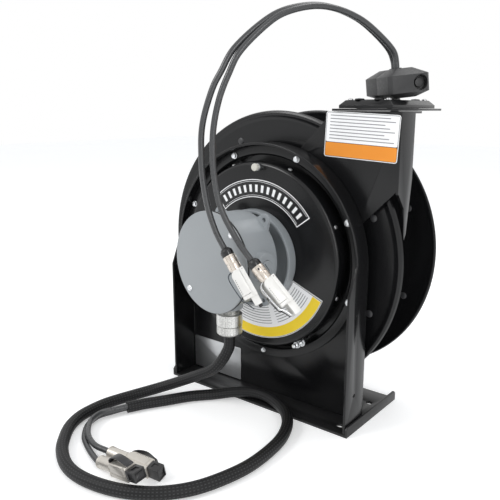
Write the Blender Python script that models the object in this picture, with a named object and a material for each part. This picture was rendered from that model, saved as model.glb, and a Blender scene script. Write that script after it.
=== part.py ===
"""Spring driven cable reel with a single pedestal frame, two data leads and a junction box.

Units are metres, +Z is up and the reel's axis runs along Y, with the junction box towards -Y.
The origin is the centre of the underside of the base foot.
"""
import math

import bmesh
import bpy
import numpy as np
from mathutils import Matrix, Vector

# General clearances
gap = 0.0003
run_clearance = 0.0005

# Base foot, one folded sheet
base_depth = 0.128
base_sheet = 0.003
lip_height = 0.013
slot_edge_distance = 0.0165
slot_front_y = -0.046
slot_rear_y = 0.029
slot_length = 0.009
slot_width = 0.0065

# Frame upright, one folded sheet with a round top
frame_bolt_margin = 0.0095
frame_sheet = 0.003
web_back_y = -0.021
flange_front_y = -0.0635
rim_front_y = -0.047
rim_start_z = 0.167
nameplate_edge_distance = 0.0045
nameplate_width = 0.087
nameplate_low_z = 0.005
nameplate_height = 0.047
nameplate_sheet = 0.0006
flange_slot_heights = (0.046, 0.144)
flange_slot_y = -0.044

# Reel axis and side discs
axis_height = 0.1964
disc_radius = 0.178
disc_sheet = 0.0025
near_disc_y = -0.012
disc_inner_width = 0.091
disc_roll = 0.0035
rivet_circle = 0.150
rivet_radius = 0.0045
rivet_height = 0.0014
disc_rivet_count = 8

# Spindle, bearings, drum and ratchet
spindle_radius = 0.012
bearing_radius = 0.021
bearing_width = 0.007
drum_radius = 0.060
drum_wall = 0.003
ratchet_radius = 0.040
ratchet_thickness = 0.0034
ratchet_notches = 12
notch_depth = 0.006
notch_width = 0.009

# Leads and their winding
cable_diameter = 0.0066
winding_radius = 0.1165
winding_pitch = 0.0069
turns_per_cable = 5.5
loop_points = 24
winding_cables = 2
feed_clearance = 0.002

# Spring case
cover_radius = 0.1175
cover_front_y = -0.052
cover_sheet = 0.002
cover_edge = 0.005
arbor_radius = 0.024
spring_turns = 5
spring_thickness = 0.0016
spring_end_margin = 0.004
anchor_angle = math.radians(-60.4)
anchor_shank = 0.0026
anchor_head = 0.0033
cover_pin_angle = math.radians(88)
cover_pin_inset = 0.006
cover_pin_length = 0.0105
cover_pin_shank = 0.0028
cover_pin_head = 0.0045

# Clamp ring round the spring case, with its bolts
cover_to_clamp = 0.007
clamp_front_y = -0.036
clamp_sheet = 0.002
bolt_inset = 0.006
bolt_angles_from_top = (21.5, -21.5, 66.0, -66.0, 108.0, -108.0, 180.0)
bolt_hole_radius = 0.0032
bolt_shank = 0.0026
bolt_head = 0.0050
bolt_head_height = 0.0042
skirt_screw_radius = 0.0026

clamp_inner_radius = cover_radius + cover_to_clamp
bolt_circle = clamp_inner_radius + bolt_inset
frame_half_width = bolt_circle + frame_bolt_margin
nameplate_left_x = nameplate_edge_distance - frame_half_width
slot_spacing_x = 2.0 * (frame_half_width - slot_edge_distance)

# Slip ring housing and junction box
ring_radius = 0.060
ring_wall = 0.0035
ring_front_y = -0.066
rotor_radius = 0.0155
box_swivel = math.radians(-6.0)
box_height = 0.202
box_rear_y = -0.068
box_depth = 0.059
box_rear_radius = 0.047
box_radius = 0.0565
box_wall = 0.0035
nipple_radius = 0.026
nipple_length = 0.0105
gasket_thickness = 0.0016
cover_plate_radius = 0.0605
cover_plate_thickness = 0.003
cover_screw_angles = (46.0, 226.0)
cover_screw_inset = 0.008
port_depth = 0.033
port_radius = 0.0165
port_reach = 0.0615
ear_angles = (52.0, 128.0, 232.0, 308.0)
ear_reach = 0.0615
ear_radius = 0.0075
ear_hole = 0.0028
ear_thickness = 0.004
plug_face_radius = 0.0078
gland_collar_radius = 0.0125
gland_collar_length = 0.006
gland_radius = 0.0159
gland_length = 0.0145
gland_nut_length = 0.0120

# Guide arm, roller tray and rollers
arm_sheet = 0.003
arm_left_x = 0.076
arm_right_x = 0.171
arm_top_z = 0.3735
arm_corner_z = 0.2895
arm_flange_depth = 0.0345
arm_shelf_sheet = 0.0025
arm_corner_cut = 0.043
arm_low_x = 0.095
arm_low_z = 0.232
arm_left_low_x = 0.064
arm_left_low_z = 0.250
arm_waist_x = 0.036
arm_waist_z = 0.322
arm_shoulder_x = 0.0455
arm_shoulder_z = 0.3336
arm_neck_x = 0.067
arm_neck_z = 0.3546
arm_notch_z = 0.3635
arm_flange_low_z = 0.230
arm_flange_step_z = 0.236
arm_flange_neck_z = 0.266
arm_flange_start_z = 0.284
arm_tongue_clearance = 0.005
arm_tongue_width = 0.006
arm_shelf_reach_y = 0.030
guide_x = 0.1265
tray_length = 0.066
tray_width = 0.114
tray_height = 0.0090
tray_chamfer = 0.0055
tray_plate_overhang = 0.008
tray_plate_lip = 0.002
tray_plate_sheet = 0.0025
guide_opening_x = 0.050
guide_opening_y = 0.092
roller_radius = 0.0045
roller_pin_radius = 0.0012
pin_seat_depth = 0.004
long_roller_offset = 0.040
short_roller_offset = 0.019
roller_height_step = 0.0030

# Ball stop clamped on the leads
stop_length = 0.075
stop_width = 0.048
stop_height = 0.0322
stop_low_level = 0.0053
stop_high_level = 0.0245
stop_low_inset = 0.011
stop_high_inset = 0.013
stop_corner_clip = 0.004
stop_turn = math.radians(48.7)
stop_tilt = math.radians(6.6)
stop_x = 0.1357
stop_y = 0.0385
stop_seat = 0.0028
stop_bolt_recess = 0.0083
stop_bolt_depth = 0.009
stop_bolt_offset = 0.0128

# Pawl
pawl_reach = 0.034
pawl_notch_angle = math.radians(120.0)
pawl_claw_depth = 0.0042
pawl_swing = math.radians(12.0)
pawl_pin_radius = 0.003
pawl_boss = 0.0065

# Metal plugs on the leads
plug_cap_length = 0.009
plug_gland_length = 0.017
plug_shell_length = 0.034
plug_nose_length = 0.0145
plug_barrel = 0.0070
plug_ridges = 2
plug_shell_width = 0.0135
plug_shell_height = 0.0160
plug_corner_radius = 0.007
plug_corner_steps = 4
output_nose_width = 0.0117
output_nose_height = 0.0086
input_nose_width = 0.0140
input_nose_height = 0.0115
nose_drop = 0.0035
lever_thickness = 0.0010
lever_width = 0.0086

# Lines of the latch levers: distance from the gland's end and height above the shell
output_lever_line = (
    (0.0010, -0.0016), (0.0014, 0.0010), (0.0034, 0.0032), (0.0070, 0.0042), (0.0125, 0.0042),
    (0.0200, 0.0037), (0.0270, 0.0030), (0.0342, 0.0021), (0.0368, -0.0002), (0.0405, -0.0022),
    (0.0465, -0.0044),
)
input_lever_line = (
    (0.0010, -0.0016), (0.0016, 0.0012), (0.0045, 0.0038), (0.0090, 0.0056), (0.0140, 0.0064),
    (0.0190, 0.0062), (0.0240, 0.0050), (0.0290, 0.0034), (0.0335, 0.0022), (0.0350, 0.0015), (0.0360, 0.0007),
)

# Free cords
cord_step_diameters = 2.9
sleeve_diameter = 0.0140

stop_cord_offset = 0.0036
sleeve_cord_side = 0.0026
sleeve_cord_rise = 0.0024

# Routes of the free cords, chosen by hand, between the pieces that their ends meet
sleeve_route = (
    (-0.0065, -0.1025, 0.0830), (-0.0130, -0.1060, 0.0700),
    (-0.0240, -0.1088, 0.0570), (-0.0433, -0.1100, 0.0455),
    (-0.0690, -0.1118, 0.0315), (-0.0945, -0.1172, 0.0185), (-0.1135, -0.1300, 0.0105),
    (-0.1247, -0.1498, 0.0078), (-0.1318, -0.1716, 0.0073), (-0.1365, -0.1949, 0.0073),
    (-0.1358, -0.2219, 0.0073), (-0.1310, -0.2400, 0.0073), (-0.1212, -0.2575, 0.0073),
    (-0.1070, -0.2735, 0.0073), (-0.0870, -0.2910, 0.0073),
    (-0.0610, -0.3050, 0.0073), (-0.0360, -0.3105, 0.0073), (-0.0090, -0.3090, 0.0073),
    (0.0180, -0.3020, 0.0073), (0.0415, -0.2905, 0.0073), (0.0610, -0.2745, 0.0073),
    (0.0785, -0.2500, 0.0073), (0.0900, -0.2185, 0.0073), (0.0960, -0.1855, 0.0073),
    (0.0950, -0.1485, 0.0073), (0.0895, -0.1180, 0.0076), (0.0775, -0.0905, 0.0095),
    (0.0570, -0.0690, 0.0108), (0.0260, -0.0545, 0.0108), (-0.0012, -0.0545, 0.0108),
    (-0.0240, -0.0670, 0.0100), (-0.0450, -0.0865, 0.0076), (-0.0655, -0.1095, 0.0073),
    (-0.0830, -0.1390, 0.0073), (-0.0965, -0.1610, 0.0073), (-0.1065, -0.1815, 0.0073),
)
input_a_route = (
    (-0.1165, -0.1975, 0.0042), (-0.1215, -0.2145, 0.0038), (-0.1145, -0.2358, 0.0037),
    (-0.0955, -0.2550, 0.0037), (-0.0780, -0.2650, 0.0038), (-0.0575, -0.2735, 0.0044),
)
input_b_route = (
    (-0.1122, -0.1995, 0.0095), (-0.1174, -0.2143, 0.0096), (-0.1111, -0.2336, 0.0095),
    (-0.0950, -0.2500, 0.0092), (-0.0800, -0.2590, 0.0087), (-0.0620, -0.2645, 0.0086),
)
output_a_route = (
    (0.1270, 0.0290, 0.4420),
    (0.1165, 0.0100, 0.4600), (0.1055, -0.0105, 0.4735), (0.0920, -0.0365, 0.4820),
    (0.0790, -0.0620, 0.4830), (0.0640, -0.0910, 0.4755), (0.0520, -0.1135, 0.4610),
    (0.0373, -0.1380, 0.4360), (0.0290, -0.1490, 0.4133), (0.0232, -0.1540, 0.3996),
    (0.0180, -0.1580, 0.3820), (0.0136, -0.1600, 0.3657), (0.0113, -0.1610, 0.3508),
    (0.0110, -0.1615, 0.3334), (0.0117, -0.1610, 0.3069), (0.0165, -0.1590, 0.2740),
    (0.0250, -0.1570, 0.2490),
)
output_b_route = (
    (0.1335, 0.0265, 0.4405),
    (0.1235, 0.0065, 0.4580), (0.1125, -0.0145, 0.4715), (0.0985, -0.0405, 0.4800),
    (0.0850, -0.0665, 0.4808), (0.0695, -0.0960, 0.4720), (0.0580, -0.1175, 0.4560),
    (0.0440, -0.1375, 0.4320), (0.0360, -0.1455, 0.4105), (0.0305, -0.1505, 0.3930),
    (0.0270, -0.1535, 0.3775), (0.0245, -0.1555, 0.3620), (0.0230, -0.1565, 0.3465),
    (0.0228, -0.1565, 0.3283), (0.0235, -0.1555, 0.3070), (0.0290, -0.1520, 0.2730),
    (0.0445, -0.1480, 0.2435),
)

# Places of the plugs: cable entry, direction point and the side that the latch lever faces
plug_places = (
    ("output_plug_a", (0.0371, -0.1557, 0.2295), (0.0795, -0.1496, 0.1666), (-0.594, -0.656, -0.463)),
    ("output_plug_b", (0.0661, -0.1460, 0.2194), (0.1160, -0.1349, 0.1648), (-0.30, -0.91, -0.49)),
    ("input_plug_a", (-0.0334, -0.2799, 0.0071), (0.0404, -0.2874, 0.0245), (0.0, -0.15, 1.0)),
    ("input_plug_b", (-0.0389, -0.2628, 0.0086), (0.0130, -0.2575, 0.0086), (0.0, 1.0, 0.25)),
)


def clear_scene():
    for old in list(bpy.data.objects):
        bpy.data.objects.remove(old, do_unlink=True)


def make_material(name, colour, roughness, metallic):
    material = bpy.data.materials.new(name)
    material.use_nodes = True
    shader = material.node_tree.nodes["Principled BSDF"]
    shader.inputs["Base Color"].default_value = (*colour, 1.0)
    shader.inputs["Roughness"].default_value = roughness
    shader.inputs["Metallic"].default_value = metallic
    return material


def finish_object(name, bm, material, location=(0.0, 0.0, 0.0), parent=None):
    """Turn a bmesh of closed bodies into a smooth shaded object."""
    bmesh.ops.recalc_face_normals(bm, faces=bm.faces)
    mesh = bpy.data.meshes.new(name)
    bm.to_mesh(mesh)
    bm.free()
    mesh.materials.append(material)
    mesh.shade_smooth()
    mesh.set_sharp_from_angle(angle=math.radians(32))
    thing = bpy.data.objects.new(name, mesh)
    bpy.context.scene.collection.objects.link(thing)
    thing.location = location
    if parent is not None:
        thing.parent = parent
    return thing


def add_revolve(bm, profile, segments, matrix=Matrix.Identity(4)):
    """Add a solid of revolution about the local Y axis from closed (radius, along) points."""
    turns = [2.0 * math.pi * step / segments for step in range(segments)]
    rings = []
    for radius, along in profile:
        if radius < 1e-9:
            rings.append([bm.verts.new(matrix @ Vector((0.0, along, 0.0)))])
            continue
        places = [Vector((radius * math.cos(turn), along, radius * math.sin(turn))) for turn in turns]
        rings.append([bm.verts.new(matrix @ place) for place in places])
    for index, ring in enumerate(rings):
        following = rings[(index + 1) % len(rings)]
        if len(ring) == 1 and len(following) == 1:
            continue
        for step in range(segments):
            after = (step + 1) % segments
            corners = [ring[step % len(ring)], following[step % len(following)]]
            if len(following) > 1:
                corners.append(following[after])
            if len(ring) > 1:
                corners.append(ring[after])
            bm.faces.new(corners)


def add_prism(bm, outline, low, high, axis="Y", matrix=Matrix.Identity(4)):
    """Extrude a flat outline: (x, z) along Y, (y, z) along X or (x, y) along Z."""
    def place(first, second, along):
        if axis == "X":
            return Vector((along, first, second))
        if axis == "Y":
            return Vector((first, along, second))
        return Vector((first, second, along))
    front = [bm.verts.new(matrix @ place(first, second, low)) for first, second in outline]
    back = [bm.verts.new(matrix @ place(first, second, high)) for first, second in outline]
    bm.faces.new(front)
    bm.faces.new(list(reversed(back)))
    count = len(outline)
    for index in range(count):
        after = (index + 1) % count
        bm.faces.new((front[index], front[after], back[after], back[index]))


def add_box(bm, low, high, matrix=Matrix.Identity(4)):
    outline = ((low[0], low[1]), (high[0], low[1]), (high[0], high[1]), (low[0], high[1]))
    add_prism(bm, outline, low[2], high[2], "Z", matrix)


def cylinder_profile(radius, low, high):
    return ((0.0, low), (radius, low), (radius, high), (0.0, high))


def tube_profile(inner, outer, low, high):
    return ((inner, low), (outer, low), (outer, high), (inner, high))


def arc_points(centre, radius, start, end, steps):
    """Points of an arc, both ends included, angles in degrees."""
    points = []
    for step in range(steps + 1):
        turn = math.radians(start + (end - start) * step / steps)
        points.append((centre[0] + radius * math.cos(turn), centre[1] + radius * math.sin(turn)))
    return points


def spoke(radius, turn, along=0.0):
    """A point about the reel axis, its angle counted from +X towards +Z."""
    return Vector((radius * math.cos(turn), along, axis_height + radius * math.sin(turn)))


def combine(thing, name, bm, operation):
    """Cut closed bodies out of an object, or unite it with them."""
    bmesh.ops.recalc_face_normals(bm, faces=bm.faces)
    mesh = bpy.data.meshes.new(name)
    bm.to_mesh(mesh)
    bm.free()
    tool = bpy.data.objects.new(name, mesh)
    bpy.context.scene.collection.objects.link(tool)
    tool.location = thing.location
    tool.parent = thing.parent
    tool.hide_render = True
    tool.display_type = "WIRE"
    modifier = thing.modifiers.new(name, "BOOLEAN")
    modifier.operation = operation
    modifier.solver = "EXACT"
    modifier.use_self = operation == "UNION"
    modifier.object = tool


def cut(thing, name, bm):
    combine(thing, name, bm, "DIFFERENCE")


def join(thing, name, bm):
    combine(thing, name, bm, "UNION")


def cord_points(first_end, route, last_end, step):
    """Even points on a smooth curve through the route, with a straight stretch at each end.

    Each end holds the cord's own end and the point where its straight stretch stops.
    """
    points = [first_end[1]] + [Vector(point) for point in route] + [last_end[1]]
    padded = [first_end[0]] + points + [last_end[0]]
    dense = []
    for index in range(1, len(padded) - 2):
        before, start, end, after = padded[index - 1:index + 3]
        for part in range(12):
            t = part / 12.0
            dense.append(0.5 * (2 * start + (end - before) * t
                                + (2 * before - 5 * start + 4 * end - after) * t ** 2
                                + (3 * start - before - 3 * end + after) * t ** 3))
    dense.append(points[-1])
    lengths = [0.0]
    for start, end in zip(dense, dense[1:]):
        lengths.append(lengths[-1] + (end - start).length)
    count = max(2, round(lengths[-1] / step))
    marks = np.linspace(0.0, lengths[-1], count + 1)
    columns = [np.interp(marks, lengths, [point[axis] for point in dense]) for axis in range(3)]
    return [first_end[0]] + [Vector(values) for values in zip(*columns)] + [last_end[0]]


def path_length(points):
    return sum((end - start).length for start, end in zip(points, points[1:]))


def make_tube(name, points, diameter, material, resolution=2, parent=None):
    """A round tube along points, with filled ends."""
    curve = bpy.data.curves.new(name, "CURVE")
    curve.dimensions = "3D"
    curve.bevel_depth = diameter / 2.0
    curve.bevel_resolution = resolution
    curve.use_fill_caps = True
    spline = curve.splines.new("POLY")
    spline.points.add(len(points) - 1)
    for spot, point in zip(spline.points, points):
        spot.co = (*point, 1.0)
    curve.materials.append(material)
    tube = bpy.data.objects.new(name, curve)
    bpy.context.scene.collection.objects.link(tube)
    if parent is not None:
        tube.parent = parent
    return tube


def copy_object(source, name, location):
    """A further copy of a piece, sharing its mesh."""
    copy = bpy.data.objects.new(name, source.data)
    bpy.context.scene.collection.objects.link(copy)
    copy.location = location
    return copy


def make_empty(name, location):
    empty = bpy.data.objects.new(name, None)
    bpy.context.scene.collection.objects.link(empty)
    empty.location = location
    return empty


clear_scene()

black_coat = make_material("black_powder_coat", (0.015, 0.015, 0.016), 0.28, 0.0)
zinc = make_material("zinc_plated_steel", (0.62, 0.64, 0.66), 0.32, 1.0)
steel = make_material("bare_steel", (0.45, 0.45, 0.46), 0.38, 1.0)
spring_steel = make_material("blued_spring_steel", (0.12, 0.13, 0.16), 0.35, 1.0)
brass = make_material("slip_ring_brass", (0.71, 0.53, 0.24), 0.30, 1.0)
grey_casting = make_material("grey_cast_box", (0.31, 0.33, 0.34), 0.48, 0.3)
gasket_rubber = make_material("gasket_rubber", (0.03, 0.03, 0.03), 0.80, 0.0)
insulator = make_material("insulating_block", (0.10, 0.05, 0.03), 0.55, 0.0)
stop_rubber = make_material("ball_stop_plastic", (0.045, 0.045, 0.045), 0.55, 0.0)
white_nylon = make_material("white_nylon", (0.75, 0.74, 0.68), 0.45, 0.0)
cable_jacket = make_material("grey_cable_jacket", (0.11, 0.115, 0.12), 0.42, 0.0)
braid = make_material("braided_sleeve", (0.05, 0.05, 0.052), 0.70, 0.0)
roller_plastic = make_material("roller_plastic", (0.05, 0.05, 0.05), 0.50, 0.0)
nickel = make_material("nickel_plug_shell", (0.72, 0.70, 0.66), 0.28, 0.9)
plug_black = make_material("black_plug_plastic", (0.02, 0.02, 0.022), 0.50, 0.0)

frame_front_inner_y = web_back_y - frame_sheet
far_disc_y = near_disc_y + disc_sheet + disc_inner_width
spool_middle_y = near_disc_y + disc_sheet + disc_inner_width / 2.0
axis_place = (0.0, 0.0, axis_height)
spool_axis = make_empty("spool_axis", axis_place)


def slot_outline(centre_x, centre_y, length, width, steps=5):
    half = (length - width) / 2.0
    right = arc_points((centre_x + half, centre_y), width / 2.0, -90.0, 90.0, steps)
    left = arc_points((centre_x - half, centre_y), width / 2.0, 90.0, 270.0, steps)
    return right + left


def build_base_foot():
    half = frame_half_width + gap + base_sheet
    inner = half - base_sheet
    outline = ((-half, 0.0), (half, 0.0), (half, lip_height), (inner, lip_height),
               (inner, base_sheet), (-inner, base_sheet), (-inner, lip_height), (-half, lip_height))
    bm = bmesh.new()
    add_prism(bm, outline, -base_depth / 2.0, base_depth / 2.0)
    foot = finish_object("base_foot", bm, black_coat)
    holes = bmesh.new()
    for side in (-1, 1):
        for along in (slot_front_y, slot_rear_y):
            outline = slot_outline(side * slot_spacing_x / 2.0, along, slot_length, slot_width)
            add_prism(holes, outline, -base_sheet, 2.0 * base_sheet, "Z")
    for side in (-1, 1):
        for end in (-1, 1):
            corner = end * base_depth / 2.0
            outline = ((corner - end * 0.004, lip_height + 0.001), (corner + end * 0.001, lip_height + 0.001),
                       (corner + end * 0.001, lip_height - 0.004))
            low = min(side * (inner - 0.001), side * (half + 0.001))
            high = max(side * (inner - 0.001), side * (half + 0.001))
            add_prism(holes, outline, low, high, "X")
    cut(foot, "cut_base_slots", holes)


def frame_outline(half_width, bottom, steps=36):
    top = arc_points((0.0, axis_height), half_width, 0.0, 180.0, steps)
    return [(half_width, bottom)] + top + [(-half_width, bottom)]


def build_frame_upright():
    bottom = base_sheet + gap
    bm = bmesh.new()
    add_prism(bm, frame_outline(frame_half_width, bottom), flange_front_y, web_back_y)
    upright = finish_object("frame_upright", bm, black_coat)
    inner = bmesh.new()
    add_prism(inner, frame_outline(frame_half_width - frame_sheet, bottom - 0.01),
              flange_front_y - 0.01, frame_front_inner_y)
    cut(upright, "cut_frame_channel", inner)
    trim = bmesh.new()
    beyond = flange_front_y - 0.01
    reach = frame_half_width + 0.01
    outline = ((beyond, rim_start_z), (flange_front_y, rim_start_z), (rim_front_y, axis_height + 0.008),
               (rim_front_y, axis_height + reach), (beyond, axis_height + reach))
    add_prism(trim, outline, -reach, reach, "X")
    cut(upright, "cut_frame_rim", trim)
    build_pawl_pin(upright)
    holes = bmesh.new()
    for turn in bolt_turns():
        add_revolve(holes, cylinder_profile(bolt_hole_radius, web_back_y - 0.006, web_back_y + 0.002), 8,
                    Matrix.Translation(spoke(bolt_circle, turn)))
    add_revolve(holes, cylinder_profile(anchor_shank + gap, web_back_y - 0.006, web_back_y + 0.002), 10,
                Matrix.Translation(spoke(anchor_radius(), anchor_angle)))
    add_revolve(holes, cylinder_profile(bearing_radius + gap, web_back_y - 0.006, web_back_y + 0.002), 24,
                Matrix.Translation(axis_place))
    for height in flange_slot_heights:
        slot = slot_outline(0.0, 0.0, 0.005, 0.0035, 3)
        outline = [(flange_slot_y + along, height + up) for along, up in slot]
        add_prism(holes, outline, -frame_half_width - 0.005, -frame_half_width + 0.005, "X")
        add_prism(holes, outline, frame_half_width - 0.005, frame_half_width + 0.005, "X")
    cut(upright, "cut_frame_holes", holes)


def bolt_turns():
    return [math.radians(90.0 - angle) for angle in bolt_angles_from_top]


def anchor_radius():
    return (cover_radius + clamp_inner_radius) / 2.0


def build_clamp_ring():
    outer = frame_half_width - frame_sheet - gap
    back = frame_front_inner_y - gap
    edge = clamp_sheet
    profile = ((outer, back), (outer, clamp_front_y), (clamp_inner_radius + edge, clamp_front_y),
               (clamp_inner_radius, clamp_front_y + edge), (clamp_inner_radius, back),
               (clamp_inner_radius + clamp_sheet, back),
               (clamp_inner_radius + clamp_sheet, clamp_front_y + clamp_sheet),
               (outer - clamp_sheet, clamp_front_y + clamp_sheet), (outer - clamp_sheet, back))
    bm = bmesh.new()
    add_revolve(bm, profile, 44)
    ring = finish_object("clamp_ring", bm, black_coat, axis_place)
    holes = bmesh.new()
    for turn in bolt_turns():
        spot = spoke(bolt_circle, turn) - Vector(axis_place)
        add_revolve(holes, cylinder_profile(bolt_hole_radius, clamp_front_y - 0.002, clamp_front_y + 0.004), 8,
                    Matrix.Translation(spot))
    cut(ring, "cut_clamp_holes", holes)


def headed_profile(shank, shank_low, head, head_low, head_high):
    """A bolt with its head towards -Y, rounded in front."""
    dome = (head_high - head_low) * 0.4
    return ((0.0, head_low), (head * 0.6, head_low), (head, head_low + dome), (head, head_high),
            (shank, head_high), (shank, shank_low), (0.0, shank_low))


def build_frame_bolts():
    seat = clamp_front_y - gap
    profile = headed_profile(bolt_shank, web_back_y - gap, bolt_head, seat - bolt_head_height, seat)
    places = [spoke(bolt_circle, turn) for turn in bolt_turns()]
    bm = bmesh.new()
    add_revolve(bm, profile, 8)
    first = finish_object("frame_bolt_1", bm, zinc, places[0])
    for number, place in enumerate(places[1:], start=2):
        copy_object(first, "frame_bolt_" + str(number), place)


def build_spring_cover():
    back = frame_front_inner_y - gap
    hole = bearing_radius + gap
    inside = cover_radius - cover_sheet
    edge = cover_edge
    profile = ((hole, cover_front_y), (cover_radius - edge, cover_front_y),
               (cover_radius - 0.3 * edge, cover_front_y + 0.3 * edge), (cover_radius, cover_front_y + edge),
               (cover_radius, back), (inside, back), (inside, cover_front_y + edge),
               (cover_radius - edge, cover_front_y + cover_sheet), (hole, cover_front_y + cover_sheet))
    bm = bmesh.new()
    add_revolve(bm, profile, 48)
    cover = finish_object("spring_cover", bm, black_coat, axis_place)
    screws = bmesh.new()
    along = (cover_front_y + frame_front_inner_y) / 2.0 - 0.005
    for turn in bolt_turns()[:6]:
        spot = Matrix.Translation(spoke(cover_radius - 0.001, turn, along) - Vector(axis_place))
        turned = spot @ Matrix.Rotation(-turn, 4, "Y") @ Matrix.Rotation(math.radians(-90), 4, "Z")
        add_revolve(screws, cylinder_profile(skirt_screw_radius, 0.0, 0.0032), 8, turned)
    join(cover, "join_skirt_screws", screws)
    hole_bm = bmesh.new()
    spot = spoke(cover_radius - cover_pin_inset, cover_pin_angle) - Vector(axis_place)
    profile = cylinder_profile(cover_pin_shank + gap, cover_front_y - 0.004, cover_front_y + 0.006)
    add_revolve(hole_bm, profile, 10, Matrix.Translation(spot))
    cut(cover, "cut_cover_pin_hole", hole_bm)


def build_cover_fasteners():
    """The capped pin on the cover and the spring's anchor bolt beside it."""
    bm = bmesh.new()
    profile = headed_profile(cover_pin_shank, cover_front_y + cover_sheet + 0.001, cover_pin_head,
                             cover_front_y - cover_pin_length, cover_front_y - cover_pin_length + 0.003)
    add_revolve(bm, profile, 16, Matrix.Translation(spoke(cover_radius - cover_pin_inset, cover_pin_angle)))
    finish_object("cover_pin", bm, white_nylon)
    bm = bmesh.new()
    profile = headed_profile(anchor_shank, web_back_y - gap, anchor_head,
                             cover_front_y - 0.003, cover_front_y + 0.0015)
    add_revolve(bm, profile, 12, Matrix.Translation(spoke(anchor_radius(), anchor_angle)))
    finish_object("spring_anchor_bolt", bm, zinc)


def build_power_spring():
    """A flat spiral strip between the arbor and the cover's skirt."""
    steps = 16 * spring_turns
    outline_outer = []
    outline_inner = []
    start = arbor_radius + 2.0 * run_clearance
    end = cover_radius - cover_edge - 2.0 * gap - spring_thickness
    for step in range(steps + 1):
        share = step / steps
        turn = anchor_angle - 2.0 * math.pi * spring_turns * (1.0 - share)
        radius = start + (end - start) * share
        outline_inner.append((radius * math.cos(turn), radius * math.sin(turn)))
        outline_outer.append(((radius + spring_thickness) * math.cos(turn),
                              (radius + spring_thickness) * math.sin(turn)))
    bm = bmesh.new()
    low = cover_front_y + cover_sheet + spring_end_margin / 4.0
    add_prism(bm, outline_outer + list(reversed(outline_inner)), low, frame_front_inner_y - spring_end_margin)
    finish_object("power_spring", bm, spring_steel, axis_place)


def build_bearings():
    inner = spindle_radius + gap
    for name, low in (("rear_bearing", web_back_y - 0.0055), ("front_bearing", cover_front_y - 0.001)):
        bm = bmesh.new()
        add_revolve(bm, tube_profile(inner, bearing_radius, low, low + bearing_width), 20)
        finish_object(name, bm, steel, axis_place)


def build_slip_ring():
    back = cover_front_y - gap
    floor = back - 0.002
    inner = ring_radius - ring_wall
    hole = bearing_radius + 0.003
    profile = ((hole, back), (ring_radius, back), (ring_radius, ring_front_y + 0.001),
               (ring_radius - 0.001, ring_front_y), (inner + 0.001, ring_front_y), (inner, ring_front_y + 0.001),
               (inner, floor), (hole, floor))
    bm = bmesh.new()
    add_revolve(bm, profile, 36)
    finish_object("slip_ring_housing", bm, grey_casting, axis_place)
    bm = bmesh.new()
    rotor_low = cover_front_y - 0.0115
    profile = ((spindle_radius + gap, rotor_low), (rotor_radius, rotor_low), (rotor_radius, rotor_low + 0.004),
               (rotor_radius - 0.0015, rotor_low + 0.005), (rotor_radius, rotor_low + 0.006),
               (rotor_radius, rotor_low + 0.010), (spindle_radius + gap, rotor_low + 0.010))
    add_revolve(bm, profile, 18)
    finish_object("slip_ring_rotor", bm, brass, (0.0, 0.0, 0.0), spool_axis)
    bm = bmesh.new()
    add_box(bm, (-0.008, ring_front_y + 0.002, -0.052), (0.008, floor - gap, -0.030))
    finish_object("brush_block", bm, insulator, axis_place)


def box_matrix():
    """Local frame of the junction box, swivelled about the slip ring's rim, local Y away from the front."""
    return (Matrix.Translation((0.0, ring_front_y, box_height)) @ Matrix.Rotation(box_swivel, 4, "Z")
            @ Matrix.Translation((0.0, -ring_front_y, 0.0)))


def ear_outline(turn):
    """A tapered lug with a round end, from the casting's side outwards."""
    centre = Vector((ear_reach * math.cos(turn), ear_reach * math.sin(turn)))
    points = arc_points(centre, ear_radius, math.degrees(turn) - 80.0, math.degrees(turn) + 80.0, 4)
    for side in (1, -1):
        foot = turn + side * math.radians(12)
        reach = box_radius - box_wall / 2.0
        points.append((reach * math.cos(foot), reach * math.sin(foot)))
    return points


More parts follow.
